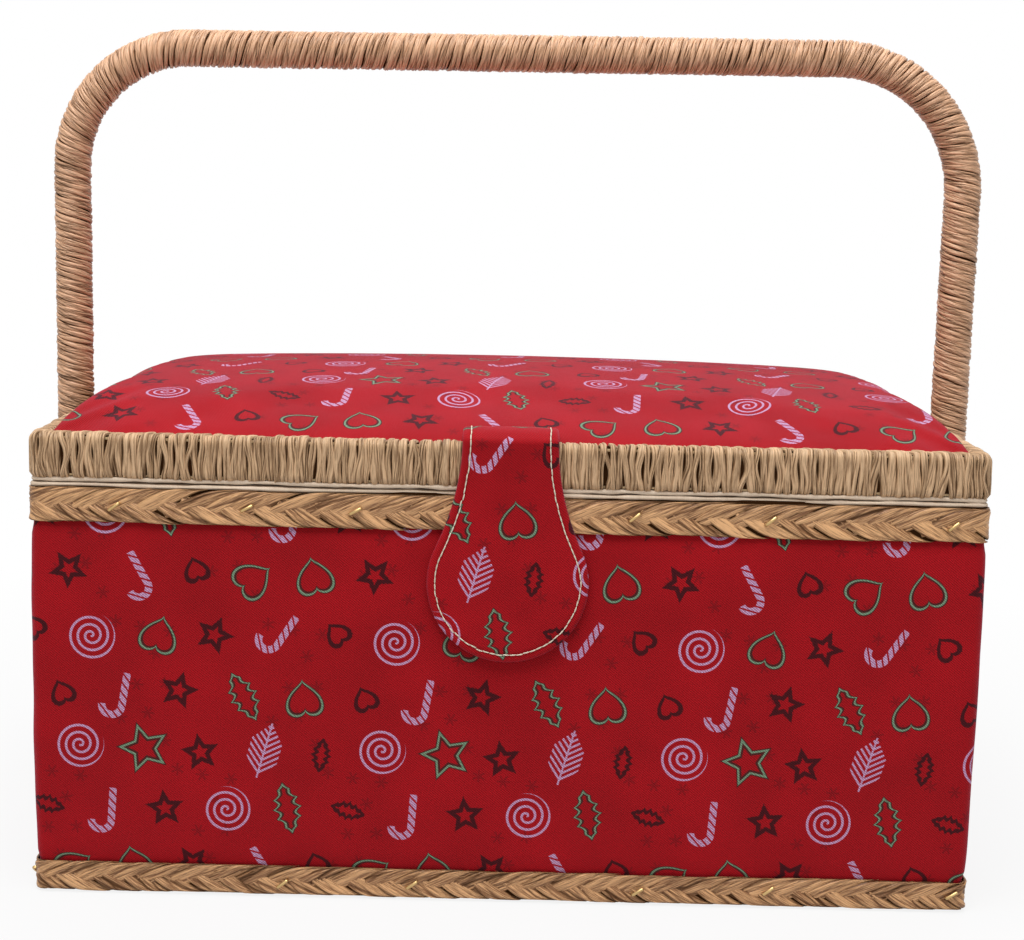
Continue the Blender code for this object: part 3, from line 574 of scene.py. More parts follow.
NODE_FINISHES = {
    "board": solid("fibreboard", (0.42, 0.29, 0.17), (0.28, 0.18, 0.10), 0.8, grain=(90, 90, 90)),
    "pine": solid("planed_pine", (0.58, 0.41, 0.22), (0.40, 0.25, 0.12), 0.65, grain=(12, 12, 120)),
    "tan_plastic": solid("tan_plastic", (0.36, 0.24, 0.14), (0.30, 0.19, 0.10), 0.5, mottle=0.3,
                         bump=0.00003),
    "steel": solid("zinc_steel", (0.62, 0.62, 0.60), (0.42, 0.42, 0.42), 0.36, 1.0, bump=0.00002),
    "brass": solid("plated_brass", (0.78, 0.58, 0.28), (0.55, 0.38, 0.15), 0.32, 1.0,
                   grain=(300, 30, 30), bump=0.00002),
    "magnet": solid("nickel_magnet", (0.50, 0.49, 0.46), (0.30, 0.30, 0.30), 0.3, 1.0, bump=0.00001),
}


def dress_cad_nodes():
    for part in frame["record"]["subparts"]:
        finish = NODE_FINISHES.get(part["material_slot"])
        if finish:
            node = frame["nodes"][part["node"]]
            node.data.materials.clear()
            node.data.materials.append(finish)


# Cloth pieces


def add_body_cloth(puff=0.0009, puff_reach=0.010, tuck=0.0006, tuck_reach=0.002, ripple=0.00014,
                   pucker=0.00010, pucker_pitch=0.021):
    """A band of printed cloth stretched round the box, tucked in and slightly puckered at the plaits."""
    along = around(0.003)
    height = np.linspace(BOX_BOTTOM, BODY_TOP, 45)[:, None]
    ripples = soft_noise(along, height * 1.5, 5, 0.05) * ripple
    puckers = np.sin(along * (tau / pucker_pitch) + 2 * np.sin(along * 60)) * pucker
    beyond = np.minimum(height - node_box("base_plait")[1][2], node_box("top_plait")[0][2] - height)
    beyond = np.maximum(beyond, 0)
    near_edge = np.exp(-beyond / puff_reach)
    tucked = tuck * np.exp(-(beyond / tuck_reach) ** 2)
    inset = CLOTH_INSET - ripples - puff * (1 - near_edge) - puckers * near_edge + tucked
    item = place(surface("body_cloth", PRINTED, (outline(along, inset, height), pairs(along, height))),
                 "basket", "red_fabric", "outer_cover")


def plate(half_width, half_depth, corner, heights, shares):
    """Rings from the middle of a rounded rectangle out to its edge, one for each share."""
    grid = edge_point(around(0.006), half_width, half_depth, corner, 0) * shares[:, None, None]
    grid[..., 2] = heights[:, None]
    return grid


def add_bottom_cloth(rings=14):
    """Cloth under the base, turned up a little at its edge."""
    shares = np.append(np.linspace(0.001, 0.994, rings), [1.0, 1.0, 0.995])
    heights = np.append(np.zeros(rings), [0.0003, 0.0009, 0.0011])
    inset = CLOTH_INSET + CLOTH_LIFT
    half_width, half_depth = HALF_WIDTH - inset, HALF_DEPTH - inset
    grid = plate(half_width, half_depth, CORNER - CLOTH_INSET, heights, shares)[:, ::-1]
    item = place(surface("bottom_cloth", CREAM, (grid, pairs(grid[..., 0], grid[..., 1]))),
                 "basket", "cream_fabric", "bottom_cover")


def add_lid_lining(puff=0.0007, puff_reach=0.009, wrinkle=0.0002, wrinkle_reach=0.01):
    """Cream cloth under the lid, slightly puffed out in the middle."""
    half_width, half_depth, top = node_box("lid_lining")[1]
    shares = np.append(np.linspace(0.001, 0.97, 24), [0.985, 0.995, 1.0])
    grid = plate(half_width, half_depth, CORNER, np.full(len(shares), top - FABRIC / 2), shares)[:, ::-1]
    x, y = grid[..., 0], grid[..., 1]
    edge = np.minimum(half_width - abs(x), half_depth - abs(y))
    puffed = puff * (1 - np.exp(-np.maximum(edge, 0) / puff_reach))
    wrinkles = wrinkle * soft_noise(x, y, 17, 0.045) * np.minimum(edge / wrinkle_reach, 1)
    grid[..., 2] -= puffed + wrinkles
    item = place(surface("lid_lining_cloth", CREAM, (grid, pairs(x, y))), "lid", "cream_fabric", "lid_lining")


def add_box_lining(fillet=0.004, rows=30, slack=0.0005, fold=0.0004, hold_reach=0.02):
    """Cream cloth inside the box: a floor with a soft edge, and sides with slight upright folds."""
    wide, deep = HALF_WIDTH - LINING_INSET, HALF_DEPTH - LINING_INSET
    floor = plate(wide - fillet, deep - fillet, LINING_CORNER - fillet, np.full(22, FLOOR_TOP),
                  np.linspace(0.001, 1, 22))
    turn = np.linspace(0, pi / 2, 6)[1:]
    rise = np.append(FLOOR_TOP + fillet * (1 - np.cos(turn)),
                     np.linspace(FLOOR_TOP + fillet, BODY_TOP, rows)[1:])[:, None]
    step = np.append(fillet * (1 - np.sin(turn)), np.zeros(rows - 1))[:, None]
    along = around(0.006)
    hold = np.minimum(1, (BODY_TOP - rise) / hold_reach) * np.minimum(1, (rise - FLOOR_TOP) / hold_reach)
    inset = step + (slack + fold * wander(along, 23, 0.03)) * hold
    sides = edge_point(along, wide - inset, deep - inset, LINING_CORNER - step, rise)
    item = surface("box_lining_cloth", CREAM, (floor, pairs(floor[..., 0], floor[..., 1])),
                   (sides, pairs(along, rise)))
    place(item, "basket", "cream_fabric", "lining")


def add_piping(name, body, node, seed, fullness=0.86, free_edge=0.004):
    """A narrow folded edge of cream cloth, round at its outside and a little wavy."""
    (_, _, low), (half_width, _, high) = node_box(node)
    half = (high - low) / 2 * fullness
    turn = np.linspace(-pi / 2, pi / 2, 9)
    out = np.concatenate([[-0.0066, -0.003], half * np.cos(turn) - half, [-0.003, -0.0066]])[:, None]
    up = np.concatenate([[-half, -half], half * np.sin(turn), [half, half]])[:, None]
    along = around(0.0015)
    edge = np.clip(1 + out / free_edge, 0, 1)
    swell = 1 + 0.30 * wander(along, seed + 2, 0.012) * edge
    wave = 0.00024 * wander(along, seed, 0.03) * edge
    shift = 0.00040 * wander(along, seed + 1, 0.05) * edge
    points = outline(along, HALF_WIDTH - half_width - out - shift, (low + high) / 2 + up * swell + wave)
    width = travelled(np.hstack([out, up]))[:, None]
    place(surface(name, CREAM, (points, pairs(along, width))), body, "cream_fabric", node)


# Straw

ACROSS = np.linspace(-1, 1, 15)[None, :]
# Step round the sheets of painted shade behind the straw
SHADE_SHEET_STEP = 0.004


def creased(run, draws, count, period):
    """Depth of the creases of crumpled straw, 0 to 1: each wanders from one edge to the other."""
    total = 0 * (run + ACROSS)
    for _ in range(count):
        length = period * draws.uniform(0.7, 1.5) * draws.choice([-1, 1])
        share = (run / length + draws.uniform(0, 1)) % 1
        sway = 0.12 * np.sin(run * (tau / period * draws.uniform(1.5, 3)))
        width = draws.uniform(0.09, 0.15)
        total = total + draws.uniform(0.55, 1) * np.exp(-((ACROSS - 1.3 + 2.6 * share + sway) / width) ** 2)
    return np.minimum(total, 1)


def lay(run, thick, draws, count, period, flatness=3.0, crease_depth=0.55):
    """Height of a crumpled strand over what it lies on, and how deep its creases are, which also sets the
    painted shade in them.
    """
    crease = creased(run, draws, count, period)
    profile = np.clip(1 - np.abs(ACROSS) ** flatness, 0, 1) ** 0.5
    return thick * (profile - crease_depth * crease), crease


def strand_tone(base, crease, gain):
    # The tone is lowered in the creases as painted shade
    return np.clip(base - gain * crease, 0.04, 1)


def strand_coords(half, travel):
    """Cloth coordinates of a strand with a half width in mm."""
    return pairs(ACROSS * half * MM, travel)


def rim_path(back=0.0010, roll=0.0019, lift=0.0002):
    """The way a strand goes over the rim from under its foot: rows of (out, up, normal out, normal up)."""
    top, under = RIM_TOP - back, RIM_BOTTOM + lift
    rows = [(-0.0030, under, 0, -1), (-0.0015, under, 0.5, -0.8), (-back, RIM_BOTTOM + 0.0009, 1, -0.1)]
    for height in np.linspace(RIM_BOTTOM + 0.002, top - roll, 11):
        rows.append((-back, height, 1, 0))
    for angle in np.linspace(0, pi / 2, 6)[1:]:
        rows.append((-back - roll * (1 - cos(angle)), top - roll * (1 - sin(angle)),
                     cos(angle), sin(angle)))
    return np.array(rows + [(-0.0040, top, 0, 1), (-0.0052, top - lift, -0.2, 0.98),
                            (-0.0057, top - 0.0016, -1, 0.2)])


def random_wave(share, slowest, fastest):
    return np.sin(share * rng.uniform(slowest, fastest) + rng.uniform(0, 6.3))


def add_rim_straw(pitch=0.0023, shade_sheet=0.0003, sway=0.00042, tilt=0.00045):
    """Flat strands side by side over the rim, each a little aslant, on a dark sheet that is painted shade for
    the gaps between them.
    """
    path = rim_path()
    out, up, normal_out, normal_up = (path[:, column:column + 1] for column in range(4))
    travel = travelled(path[:, :2])[:, None]
    share = travel / travel[-1]
    strips = Strips()
    # A sheet of tone 0 behind the strands: painted shade seen in the gaps
    behind = outline(around(SHADE_SHEET_STEP), shade_sheet - out, up - shade_sheet * normal_up)
    strips.add(behind, pairs(0, travel), 0.0)
    widths = rng.uniform(0.7, 1.3, round(PERIMETER / pitch))
    edges = np.append(0, np.cumsum(widths)) * PERIMETER / widths.sum()
    for start, end in zip(edges, edges[1:]):
        swell = 1.12 + 0.17 * random_wave(share, 5, 10)
        bend = rng.normal(0, sway) * random_wave(share, 4, 10)
        middle = (start + end) / 2 + rng.normal(0, tilt) * (share - 0.45) * 2 + bend
        height, crease = lay(travel, rng.uniform(0.0008, 0.0012), rng, 4, 0.045)
        height = height + rng.uniform(-0.00015, 0.0003)
        along = middle + ACROSS * (end - start) / 2 * swell
        points = outline(along, -out - height * normal_out, up + height * normal_up)
        coords = strand_coords(RIM_STRAND_HALF, travel + rng.uniform(0, 1))
        strips.add(points, coords, strand_tone(rng.uniform(0.52, 0.88), crease, 0.55))
    place(strips.build("rim_straw", PALE_STRAW), "lid", "pale_straw", "rim_wrap")


def held_in(height, limit, sharpness=8):
    """Stops a height softly at the plait's edge."""
    return height / (1 + abs(height / limit) ** sharpness) ** (1 / sharpness)


def plait_leg(draws, start, side, half_height, thick=0.0007, over=0.0007, sunk=0.0004, tilt=0.00045,
              edge_drop=0.0005):
    """One length of flat straw that comes out at the plait's middle line and turns in at its edge.

    Gives the place along the plait, the height over its middle line, the height off the box, the
    travel along the straw and its creases.
    """
    lean = radians(draws.normal(31 if side < 0 else 25, 1.6))
    length = half_height * 2.3 / sin(lean)
    travel = np.linspace(0, length, 15)[:, None]
    share = travel / length
    half = draws.uniform(0.0027, 0.0031) * (1 - 0.35 * np.exp(-share / 0.12))
    step = ACROSS * half + draws.normal(0, 0.00015) * np.sin(pi * share)
    run = start + travel * cos(lean) - step * sin(lean)
    rise = travel * sin(lean) + step * cos(lean) - half_height * 0.55
    height, crease = lay(travel, thick, draws, 5, 0.05, 4.0)
    level = over * smooth_step(np.clip(share / 0.38, 0, 1)) - sunk + tilt * ACROSS + height
    level = level - edge_drop * (np.clip(rise / half_height - 0.75, 0, 0.6) / 0.6) ** 2
    limit = half_height + draws.uniform(-0.0002, 0.0004)
    return run, side * held_in(rise, limit), level, travel, crease


def add_plait_straw(name, node, seed, over, tones, pitch=0.0110, shift=0.0002):
    """Flat straws that come out from under each other along the middle line, by turns up and down."""
    (_, _, low), (_, _, high) = node_box(node)
    middle = (low + high) / 2 + shift
    draws = np.random.default_rng(seed)
    strips = Strips()
    # A strip of tone 0 behind the plait: painted shade seen between its straws and along its top
    behind = np.array([low + 0.0003, low + 0.002, high - 0.002, high + over])[:, None]
    inset = CLOTH_INSET + np.array([0.0002, -0.0001, -0.0001, 0.0002])[:, None]
    strips.add(outline(around(SHADE_SHEET_STEP), inset, behind), pairs(0, behind), 0.0)
    count = 2 * round(PERIMETER / pitch)
    for index in range(count):
        side = 1 if index % 2 else -1
        start = (index + draws.uniform(-0.12, 0.12)) * PERIMETER / count
        run, rise, level, travel, crease = plait_leg(draws, start, side, (high - low) / 2)
        points = outline(run, CLOTH_INSET - 0.0002 - level, middle + rise)
        tone = strand_tone(draws.uniform(*tones), crease, 0.45)
        coords = strand_coords(PLAIT_STRAND_HALF, travel + index * 0.05)
        order = slice(None, None, -side)
        strips.add(points[:, order], coords[:, order], tone[:, order])
    place(strips.build(name, GOLD_STRAW), "basket", "golden_straw", node)


def add_staples(name, node, spacing, seed, half_length=0.0024, half_width=0.00055, half_thick=0.0005,
                off=0.0011):
    """Wire staples across the plait, each a rounded bar that turns in at both ends."""
    (_, _, low), (_, _, high) = node_box(node)
    draws = np.random.default_rng(seed)
    strips = Strips()
    turn = np.linspace(0, tau, 9)[None, :]
    reach = np.array([-1.0, -0.97, -0.8, 0, 0.8, 0.97, 1.0])[:, None] * half_length
    depth = np.array([-0.0012, -0.0003, 0, 0.0001, 0, -0.0003, -0.0012])[:, None]
    side = half_width * np.cos(turn)
    out = off + depth + half_thick * np.sin(turn)
    count = round(PERIMETER / spacing)
    for index in range(count):
        centre = (index + draws.uniform(0.2, 0.8)) * PERIMETER / count
        lean = radians(draws.uniform(28, 42))
        height = (low + high) / 2 + draws.uniform(-0.001, 0.001)
        run = centre + reach * cos(lean) - side * sin(lean)
        rise = height + reach * sin(lean) + side * cos(lean)
        strips.add(outline(run, -out, rise), pairs(side, reach))
    place(strips.build(name, STAPLE_WIRE), "basket", "brass")


# Handle

LEFT_BEND = 0.046
RIGHT_BEND = 0.050
LEFT_DROP = 0.0018
SWAY_LOW = 0.118
SWAY_TOP = 0.147


def leg_x(height):
    """How far out a leg's middle line is: it sways from the foot out to the full span."""
    share = np.clip((height - SWAY_LOW) / (SWAY_TOP - SWAY_LOW), 0, 1)
    return HANDLE_FOOT + (HANDLE_SPAN - HANDLE_FOOT) * smooth_step(share)


def quarter_turn(x, z, radius, start):
    """A bend round a centre, clockwise from an angle in degrees."""
    angle = np.radians(np.linspace(start, start - 90, 200))
    return x + radius * np.cos(angle), z + radius * np.sin(angle)


def handle_line():
    """Middle line of the wound handle from the left leg to the right one: travel, x and z."""
    left, right = LEFT_BEND - HANDLE_SPAN, HANDLE_SPAN - RIGHT_BEND
    left_bar = HANDLE_BAR - LEFT_DROP
    left_top, right_top = left_bar - LEFT_BEND, HANDLE_BAR - RIGHT_BEND
    climb = np.linspace(HANDLE_WOUND_START, left_top, 400)[:-1]
    fall = np.linspace(right_top, HANDLE_WOUND_START, 400)[1:]
    bar = np.linspace(left, right, 300)[1:-1]
    stretches = [(-leg_x(climb), climb), quarter_turn(left, left_top, LEFT_BEND, 180),
                 (bar, np.linspace(left_bar, HANDLE_BAR, len(bar))),
                 quarter_turn(right, right_top, RIGHT_BEND, 90), (leg_x(fall), fall)]
    x, z = (np.concatenate(values) for values in zip(*stretches))
    length = travelled(np.stack([x, z], -1))
    even = np.linspace(0, length[-1], 1600)
    return even, np.interp(even, length, x), np.interp(even, length, z)


class Route:
    """Places points round the handle's middle line."""

    def __init__(self):
        self.travel, x, z = handle_line()
        self.length = self.travel[-1]
        along_x, along_z = np.gradient(x, self.travel), np.gradient(z, self.travel)
        size = np.hypot(along_x, along_z)
        self.rows = x, z, -along_z / size, along_x / size

    def tube(self, distance, radius, angle):
        """Points at a distance along, a radius and an angle; angle 0 is the outside of the bends."""
        distance = np.clip(distance, 0, self.length)
        x, z, out_x, out_z = (np.interp(distance, self.travel, row) for row in self.rows)
        swing = radius * np.cos(angle)
        points = np.broadcast_arrays(x + out_x * swing, -radius * np.sin(angle), z + out_z * swing)
        return np.stack(points, -1)


def add_handle_straw(starts=5, lead=0.0110, core_radius=0.0061, lay_radius=0.0062, thick=0.0009,
                     ring_half=0.0008, ring_rise=0.0007):
    """Flat strands wound side by side round a core painted dark as the shade between them, with a ring of
    straw at both ends.
    """
    route = Route()
    draws = np.random.default_rng(55)
    strips = Strips()
    turn = np.linspace(0, tau, 25)[None, :]
    # A core of tone 0 under the windings: painted shade seen between the strands
    core = np.linspace(0, route.length, 300)[:, None]
    strips.add(route.tube(core, core_radius, turn), pairs(0, core), 0.0)
    half = lead / starts / 2
    along = np.arange(0, route.length + lead / 44, lead / 22)[:, None]
    run = along * (tau * HANDLE_RADIUS / lead)
    for start in range(starts):
        angle = -tau * (along / lead + start / starts)
        drift, swell, lift, shade = (soft_noise(run, 0, seed + start, length) for seed, length
                                     in ((60, 0.030), (70, 0.014), (80, 0.020), (90, 0.030)))
        height, crease = lay(run, thick, draws, 3, 0.016)
        spot = along + 0.00028 * drift + ACROSS * half * (1.06 + 0.22 * swell)
        points = route.tube(spot, lay_radius + height + 0.00018 * lift, angle)
        tone = strand_tone(0.70 + 0.20 * shade, crease, 0.60)
        strips.add(points, strand_coords(HANDLE_STRAND_HALF, run + start), tone)
    ring = np.linspace(0, tau, 13)[:, None]
    for end in (ring_rise, route.length - ring_rise):
        points = route.tube(end + ring_half * np.cos(ring), lay_radius + ring_rise * np.sin(ring), turn)
        strips.add(points, pairs(ring * 0.0002, turn * 0.006), 0.6)
    place(strips.build("handle_straw", TAN_STRAW), "handle", "pale_straw", "handle_wrap")


# The padded top of the lid

CROWN_RISE = 0.0133
END_REACH = 0.0043
END_REACH_SLOPE = 0.0296
LEAST_END_REACH = 0.0011
SIDE_REACH = 0.0204
CROWN_POWER = 0.78
MIDDLE_GAIN = 0.386


def crowned(x, y):
    """Height of the padding: steep at both ends, slower at the front and back, fullest in the middle."""
    end_reach = np.maximum(END_REACH + END_REACH_SLOPE * y, LEAST_END_REACH)
    in_x = np.maximum(CUSHION_HALF_X - abs(x), 0) / end_reach
    in_y = np.maximum(CUSHION_HALF_Y - abs(y), 0) / SIDE_REACH
    rise = (1 - np.exp(-in_x ** CROWN_POWER)) * (1 - np.exp(-in_y ** CROWN_POWER))
    middle = (1 - (x / CUSHION_HALF_X) ** 2) * (1 - (y / CUSHION_HALF_Y) ** 2)
    return CROWN_RISE * rise * (1 + MIDDLE_GAIN * middle)


def drawn_in(x, y):
    """Rounds the corners of the rectangle that the cushion's foot makes."""
    flat_x, flat_y = CUSHION_HALF_X - CUSHION_CORNER, CUSHION_HALF_Y - CUSHION_CORNER
    over_x, over_y = abs(x) - flat_x, abs(y) - flat_y
    far = np.hypot(np.maximum(over_x, 0), np.maximum(over_y, 0))
    pull = CUSHION_CORNER / np.maximum(far, CUSHION_CORNER)
    x = np.where(over_x > 0, np.sign(x) * (flat_x + over_x * pull), x)
    y = np.where(over_y > 0, np.sign(y) * (flat_y + over_y * pull), y)
    return x, y


def eased(count, evenness=0.25):
    """Steps from -1 to 1 that are closer near both ends."""
    even = np.linspace(-1, 1, count)
    return evenness * even + (1 - evenness) * np.sin(even * pi / 2)


def add_cushion():
    x, y = np.meshgrid(eased(121) * CUSHION_HALF_X, eased(81) * CUSHION_HALF_Y)
    points = np.stack([*drawn_in(x, y), CUSHION_FOOT + crowned(x, y)], -1)
    item = surface("cushion", PRINTED, (points, pairs(x, y)))
    swell_cushion(item)
    add_skirt(item)
    smooth = item.modifiers.new("smooth", "SUBSURF")
    smooth.levels = smooth.render_levels = 1
    place(item, "lid", "red_fabric", "cushion_cover", "foam_pad")


def swell_cushion(item, cap=0.0015, frames=20, held_rise=0.0004):
    """Lets the padding press the cloth out a little, held all round its foot."""
    mesh = item.data
    rest = np.empty(len(mesh.vertices) * 3, np.float32)
    mesh.vertices.foreach_get("co", rest)
    moved = np.empty_like(rest)
    rest = rest.reshape(-1, 3)
    held = item.vertex_groups.new(name="held")
    held.add(np.flatnonzero(rest[:, 2] < CUSHION_FOOT + held_rise).tolist(), 1.0, "REPLACE")
    cloth = item.modifiers.new("cloth", "CLOTH")
    settings = {"quality": 6, "mass": 0.2, "tension_stiffness": 25, "compression_stiffness": 25,
                "shear_stiffness": 12, "bending_stiffness": 1.5, "vertex_group_mass": "held",
                "use_pressure": True, "uniform_pressure_force": 3.0, "shrink_min": -0.004}
    for key, value in settings.items():
        setattr(cloth.settings, key, value)
    cloth.settings.effector_weights.gravity = 0
    cloth.point_cache.frame_start = 1
    cloth.point_cache.frame_end = frames
    scene = bpy.context.scene
    for number in range(1, frames + 1):
        scene.frame_set(number)
    item.evaluated_get(bpy.context.evaluated_depsgraph_get()).data.vertices.foreach_get("co", moved)
    item.modifiers.remove(cloth)
    scene.frame_set(1)
    shift = moved.reshape(-1, 3) - rest
    shift *= np.minimum(1, cap / np.maximum(np.linalg.norm(shift, axis=1, keepdims=True), MM / 1000))
    mesh.vertices.foreach_set("co", (rest + shift).ravel())
    mesh.update()


def add_skirt(item):
    """Takes the cushion's edge down inside the rim."""
    shape = bmesh.new()
    shape.from_mesh(item.data)
    edges = [edge for edge in shape.edges if edge.is_boundary]
    made = bmesh.ops.extrude_edge_only(shape, edges=edges)["geom"]
    for vert in (part for part in made if isinstance(part, bmesh.types.BMVert)):
        vert.co.z = SKIRT_FOOT
    shape.to_mesh(item.data)
    shape.free()


# The closing tab

TAB_FLARE = radians(24.5)
STITCH_INSET = 0.0028
FINE_STEPS = (200, 300)
TAB_PRINT_ACROSS, TAB_PRINT_UP, TAB_BACK_PRINT_ACROSS = 0.0042, 0.0137, 0.05


def tab_outline(shrink, flare_steps, round_steps):
    """Right half of the tab from its neck down: half widths and depths."""
    round_depth = TAB_LENGTH - TAB_ROUND
    radius = TAB_ROUND - shrink
    join_depth = round_depth - radius * sin(TAB_FLARE)
    join_half = radius * cos(TAB_FLARE)
    neck = TAB_NECK_HALF - shrink
    share = np.arange(flare_steps) / flare_steps
    angle = TAB_FLARE - (pi / 2 + TAB_FLARE) * np.arange(round_steps + 1) / round_steps
    half = np.append(neck + (join_half - neck) * share ** 2, radius * np.cos(angle))
    return half, np.append(join_depth * share, round_depth - radius * np.sin(angle))


def tab_panel(facing, roll=0.0016, seam_depth=0.00042, seam_half=0.0006, puff=0.00035, puff_reach=0.010,
              wrinkle=0.00018):
    """A grid over one side of the flap; facing is -1 for its front and 1 for its back."""
    half, depth = tab_outline(0, 40, 56)
    x = half[:, None] * np.sin(np.linspace(-1, 1, 49) * pi / 2)[None, :]
    z = TAB_HINGE_Z - np.broadcast_to(depth[:, None], x.shape)
    fine_half, fine_depth = tab_outline(0, *FINE_STEPS)
    edge_x = np.append(fine_half, -fine_half)
    edge_z = TAB_HINGE_Z - np.append(fine_depth, fine_depth)
    gap = np.hypot(x[..., None] - edge_x, z[..., None] - edge_z).min(-1)
    round_off = np.sqrt(np.clip(1 - (1 - np.minimum(gap / roll, 1)) ** 2, 0, 1))
    seam = seam_depth * np.exp(-((gap - STITCH_INSET) / seam_half) ** 2)
    puffed = puff * np.minimum(gap / puff_reach, 1) + wrinkle * soft_noise(x, z, 31 + facing, 0.016)
    y = TAB_HINGE_Y + facing * (TAB_HALF_THICK + puffed * (facing < 0) - seam) * round_off
    return np.stack([x, y, z], -1)


def tab_strap():
    """Rows of (y, z) from the cushion's seam, over the rim and down to the flap."""
    rows = [(0.0159, 0.0009), (0.0134, 0.0026), (0.0104, 0.0034), (0.0069, 0.0037), (0.0039, 0.0033),
            (0.0014, 0.0024), (-0.0005, 0.0011)]
    return [(TAB_HINGE_Y + back, TAB_HINGE_Z + rise) for back, rise in rows]


def blend_tab(item):
    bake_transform(item)


def add_tab():
    """The flap's two sides and the strap that takes its front over the rim."""
    front, back = tab_panel(-1), tab_panel(1)
    across = front[0, :, 0]
    drop = (front[0, :, 1] - front[0, :, 1].min()) * 0.6
    strap = [np.stack([across, y + 0 * across, z - drop], -1) for y, z in tab_strap()]
    front = np.concatenate([np.array(strap), front])
    middle = front.shape[1] // 2
    print_up = TAB_PRINT_UP - travelled(front[:, middle, 1:])[:, None]
    item = surface("tab_cloth", PRINTED,
                   (front[:, ::-1], pairs(front[..., 0] + TAB_PRINT_ACROSS, print_up)[:, ::-1]),
                   (back, pairs(back[..., 0] + TAB_BACK_PRINT_ACROSS, back[..., 2])))
    blend_tab(item)
    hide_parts("tab_root", "tab_front", "tab_back")


def stitch_line():
    """Points and outward directions of the seam: over the strap, round the flap and back."""
    half, depth = tab_outline(STITCH_INSET, *FINE_STEPS)
    flap = np.stack([half, np.full_like(half, TAB_FRONT_Y), TAB_HINGE_Z - depth], -1)
    strap = np.array([(half[0], y, z) for y, z in tab_strap()[3:]])
    slope = np.gradient(strap[:, 1:], axis=0)
    slope = slope / np.linalg.norm(slope, axis=1, keepdims=True)
    outward = np.concatenate([np.stack([0 * slope[:, 0], slope[:, 1], -slope[:, 0]], -1),
                              np.tile((0.0, -1.0, 0.0), (len(flap), 1))])
    right = np.concatenate([strap, flap])
    left = right[::-1] * (-1, 1, 1)
    return np.concatenate([right, left]), np.concatenate([outward, outward[::-1]])


def add_tab_stitches(pitch=0.0023, thick=0.00023, rise=0.00012, sunk=0.00002, unevenness=0.00008):
    """Cream thread inset from the edge of the tab, one short bar for each stitch."""
    seam, outward = stitch_line()
    travel = travelled(seam)
    count = round(travel[-1] / pitch)
    turn = np.linspace(0, tau, 9)[None, :, None]
    share = np.linspace(0.02, 0.98, 7)
    hump = (np.sin(share * pi) ** 0.5)[:, None, None]
    radius = thick * (0.45 + 0.55 * hump)
    strips = Strips()
    for index in range(count):
        spot = (index + share) * travel[-1] / count
        middle, out = (np.stack([np.interp(spot, travel, rows[:, axis]) for axis in range(3)], -1)
                       for rows in (seam, outward))
        side = np.cross(np.gradient(middle, axis=0), out)
        side = side / np.linalg.norm(side, axis=1, keepdims=True)
        points = (middle[:, None] + side[:, None] * (radius * np.cos(turn) + rng.normal(0, unevenness))
                  + out[:, None] * (rise * hump - sunk + radius * np.sin(turn)))
        strips.add(points, pairs(radius[..., 0] * np.cos(turn[..., 0]), spot[:, None]))
    blend_tab(strips.build("tab_stitches", THREAD))


# Camera, lights and floor

LIGHT_AIM = Vector((0, 0, 0.1))


def add_camera(yaw=-0.0007, pitch=-0.1574, roll=0.0237, spot=(0.001, -0.7118, 0.2457), lens=63.84):
    """The camera that the photo's edges of rim, base and handle were fitted with."""
    data = bpy.data.cameras.new("camera")
    data.sensor_width = 36
    data.lens = lens
    data.clip_start = 0.01
    data.clip_end = 20
    camera = new_object("camera", data)
    camera.matrix_world = (Matrix.Translation(spot) @ Matrix.Rotation(-yaw, 4, "Z")
                           @ Matrix.Rotation(pi / 2 + pitch, 4, "X") @ Matrix.Rotation(roll, 4, "Z"))
    bpy.context.scene.camera = camera


def add_softbox(name, spot, size, power):
    data = bpy.data.lights.new(name, "AREA")
    data.shape = "SQUARE"
    data.size = size
    data.energy = power
    lamp = new_object(name, data)
    lamp.location = spot
    lamp.rotation_euler = (LIGHT_AIM - Vector(spot)).to_track_quat("-Z", "Y").to_euler()


def seen_directly(graph):
    """1 for rays from the camera, off glossy faces and through clear ones."""
    rays = ("Is Camera Ray", "Is Glossy Ray", "Is Transmission Ray")
    camera, glossy, through = (graph.field("ShaderNodeLightPath", (), ray) for ray in rays)
    return camera.larger(glossy).larger(through)


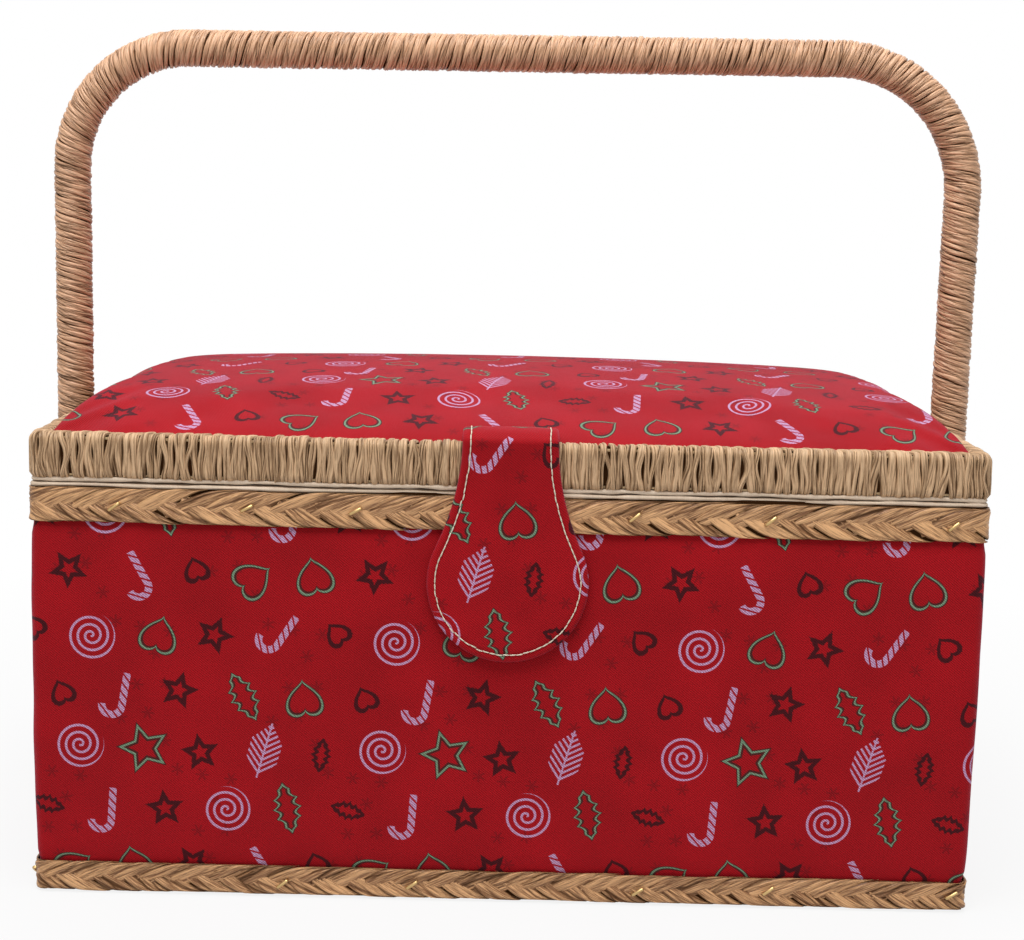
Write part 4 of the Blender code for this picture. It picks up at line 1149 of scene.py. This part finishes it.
def add_world(ambient=0.36):
    """Soft light from all sides, and plain white behind the basket."""
    world = bpy.data.worlds.new("studio")
    bpy.context.scene.world = world
    graph = Graph(world)
    light, backdrop = (graph.field("ShaderNodeBackground", (("Color", (1, 1, 1, 1)), ("Strength", strength)))
                       for strength in (ambient, 1.0))
    graph.show_mix("World Output", seen_directly(graph), light, backdrop)


def add_floor(reach=6.0, drop=0.0004, near=0.20, far=0.50, least_glow=0.86):
    """A white floor that keeps the basket's shadow and turns to plain white farther away."""
    mesh = bpy.data.meshes.new("floor")
    corners = [(x * reach, y * reach, -drop) for x, y in ((-1, -1), (1, -1), (1, 1), (-1, 1))]
    mesh.from_pydata(corners, [], [(0, 1, 2, 3)])
    floor = new_object("floor", mesh)
    graph = material_graph("floor_white")
    x, y, _ = graph.object_point()
    fade = span(x, y).clamp(1 / (far - near), -near / (far - near))
    share = (least_glow + fade * (1 - least_glow)) * seen_directly(graph)
    mesh.materials.append(graph.finish((0.60, 0.60, 0.60, 1), 0.9))
    shaded = Field(graph, graph.tree.nodes["Principled BSDF"].outputs[0])
    graph.show_mix("Material Output", share, shaded, graph.field("ShaderNodeEmission"))


add_camera()
dress_cad_nodes()
add_body_cloth()
add_bottom_cloth()
add_box_lining()
add_lid_lining()
add_piping("lid_piping_cloth", "lid", "lid_piping", 41)
add_piping("body_piping_cloth", "basket", "body_piping", 47)
add_rim_straw()
# The base plait gets lower tones than the top plait: painted shade for its lower place under the light
add_plait_straw("top_plait_straw", "top_plait", 101, 0.0012, (0.50, 0.98))
add_plait_straw("base_plait_straw", "base_plait", 151, -0.0004, (0.38, 0.82))
add_staples("top_plait_staples", "top_plait", 0.047, 3)
add_staples("base_plait_staples", "base_plait", 0.062, 4)
add_handle_straw()
add_cushion()
add_tab()
add_tab_stitches()
add_softbox("key_light", (-0.15, -0.6, 1.8), 1.3, 38)
add_softbox("back_light", (0.3, 0.9, 1.4), 1.2, 5)
add_world()
add_floor()

bpy.context.scene.view_settings.view_transform = "Standard"
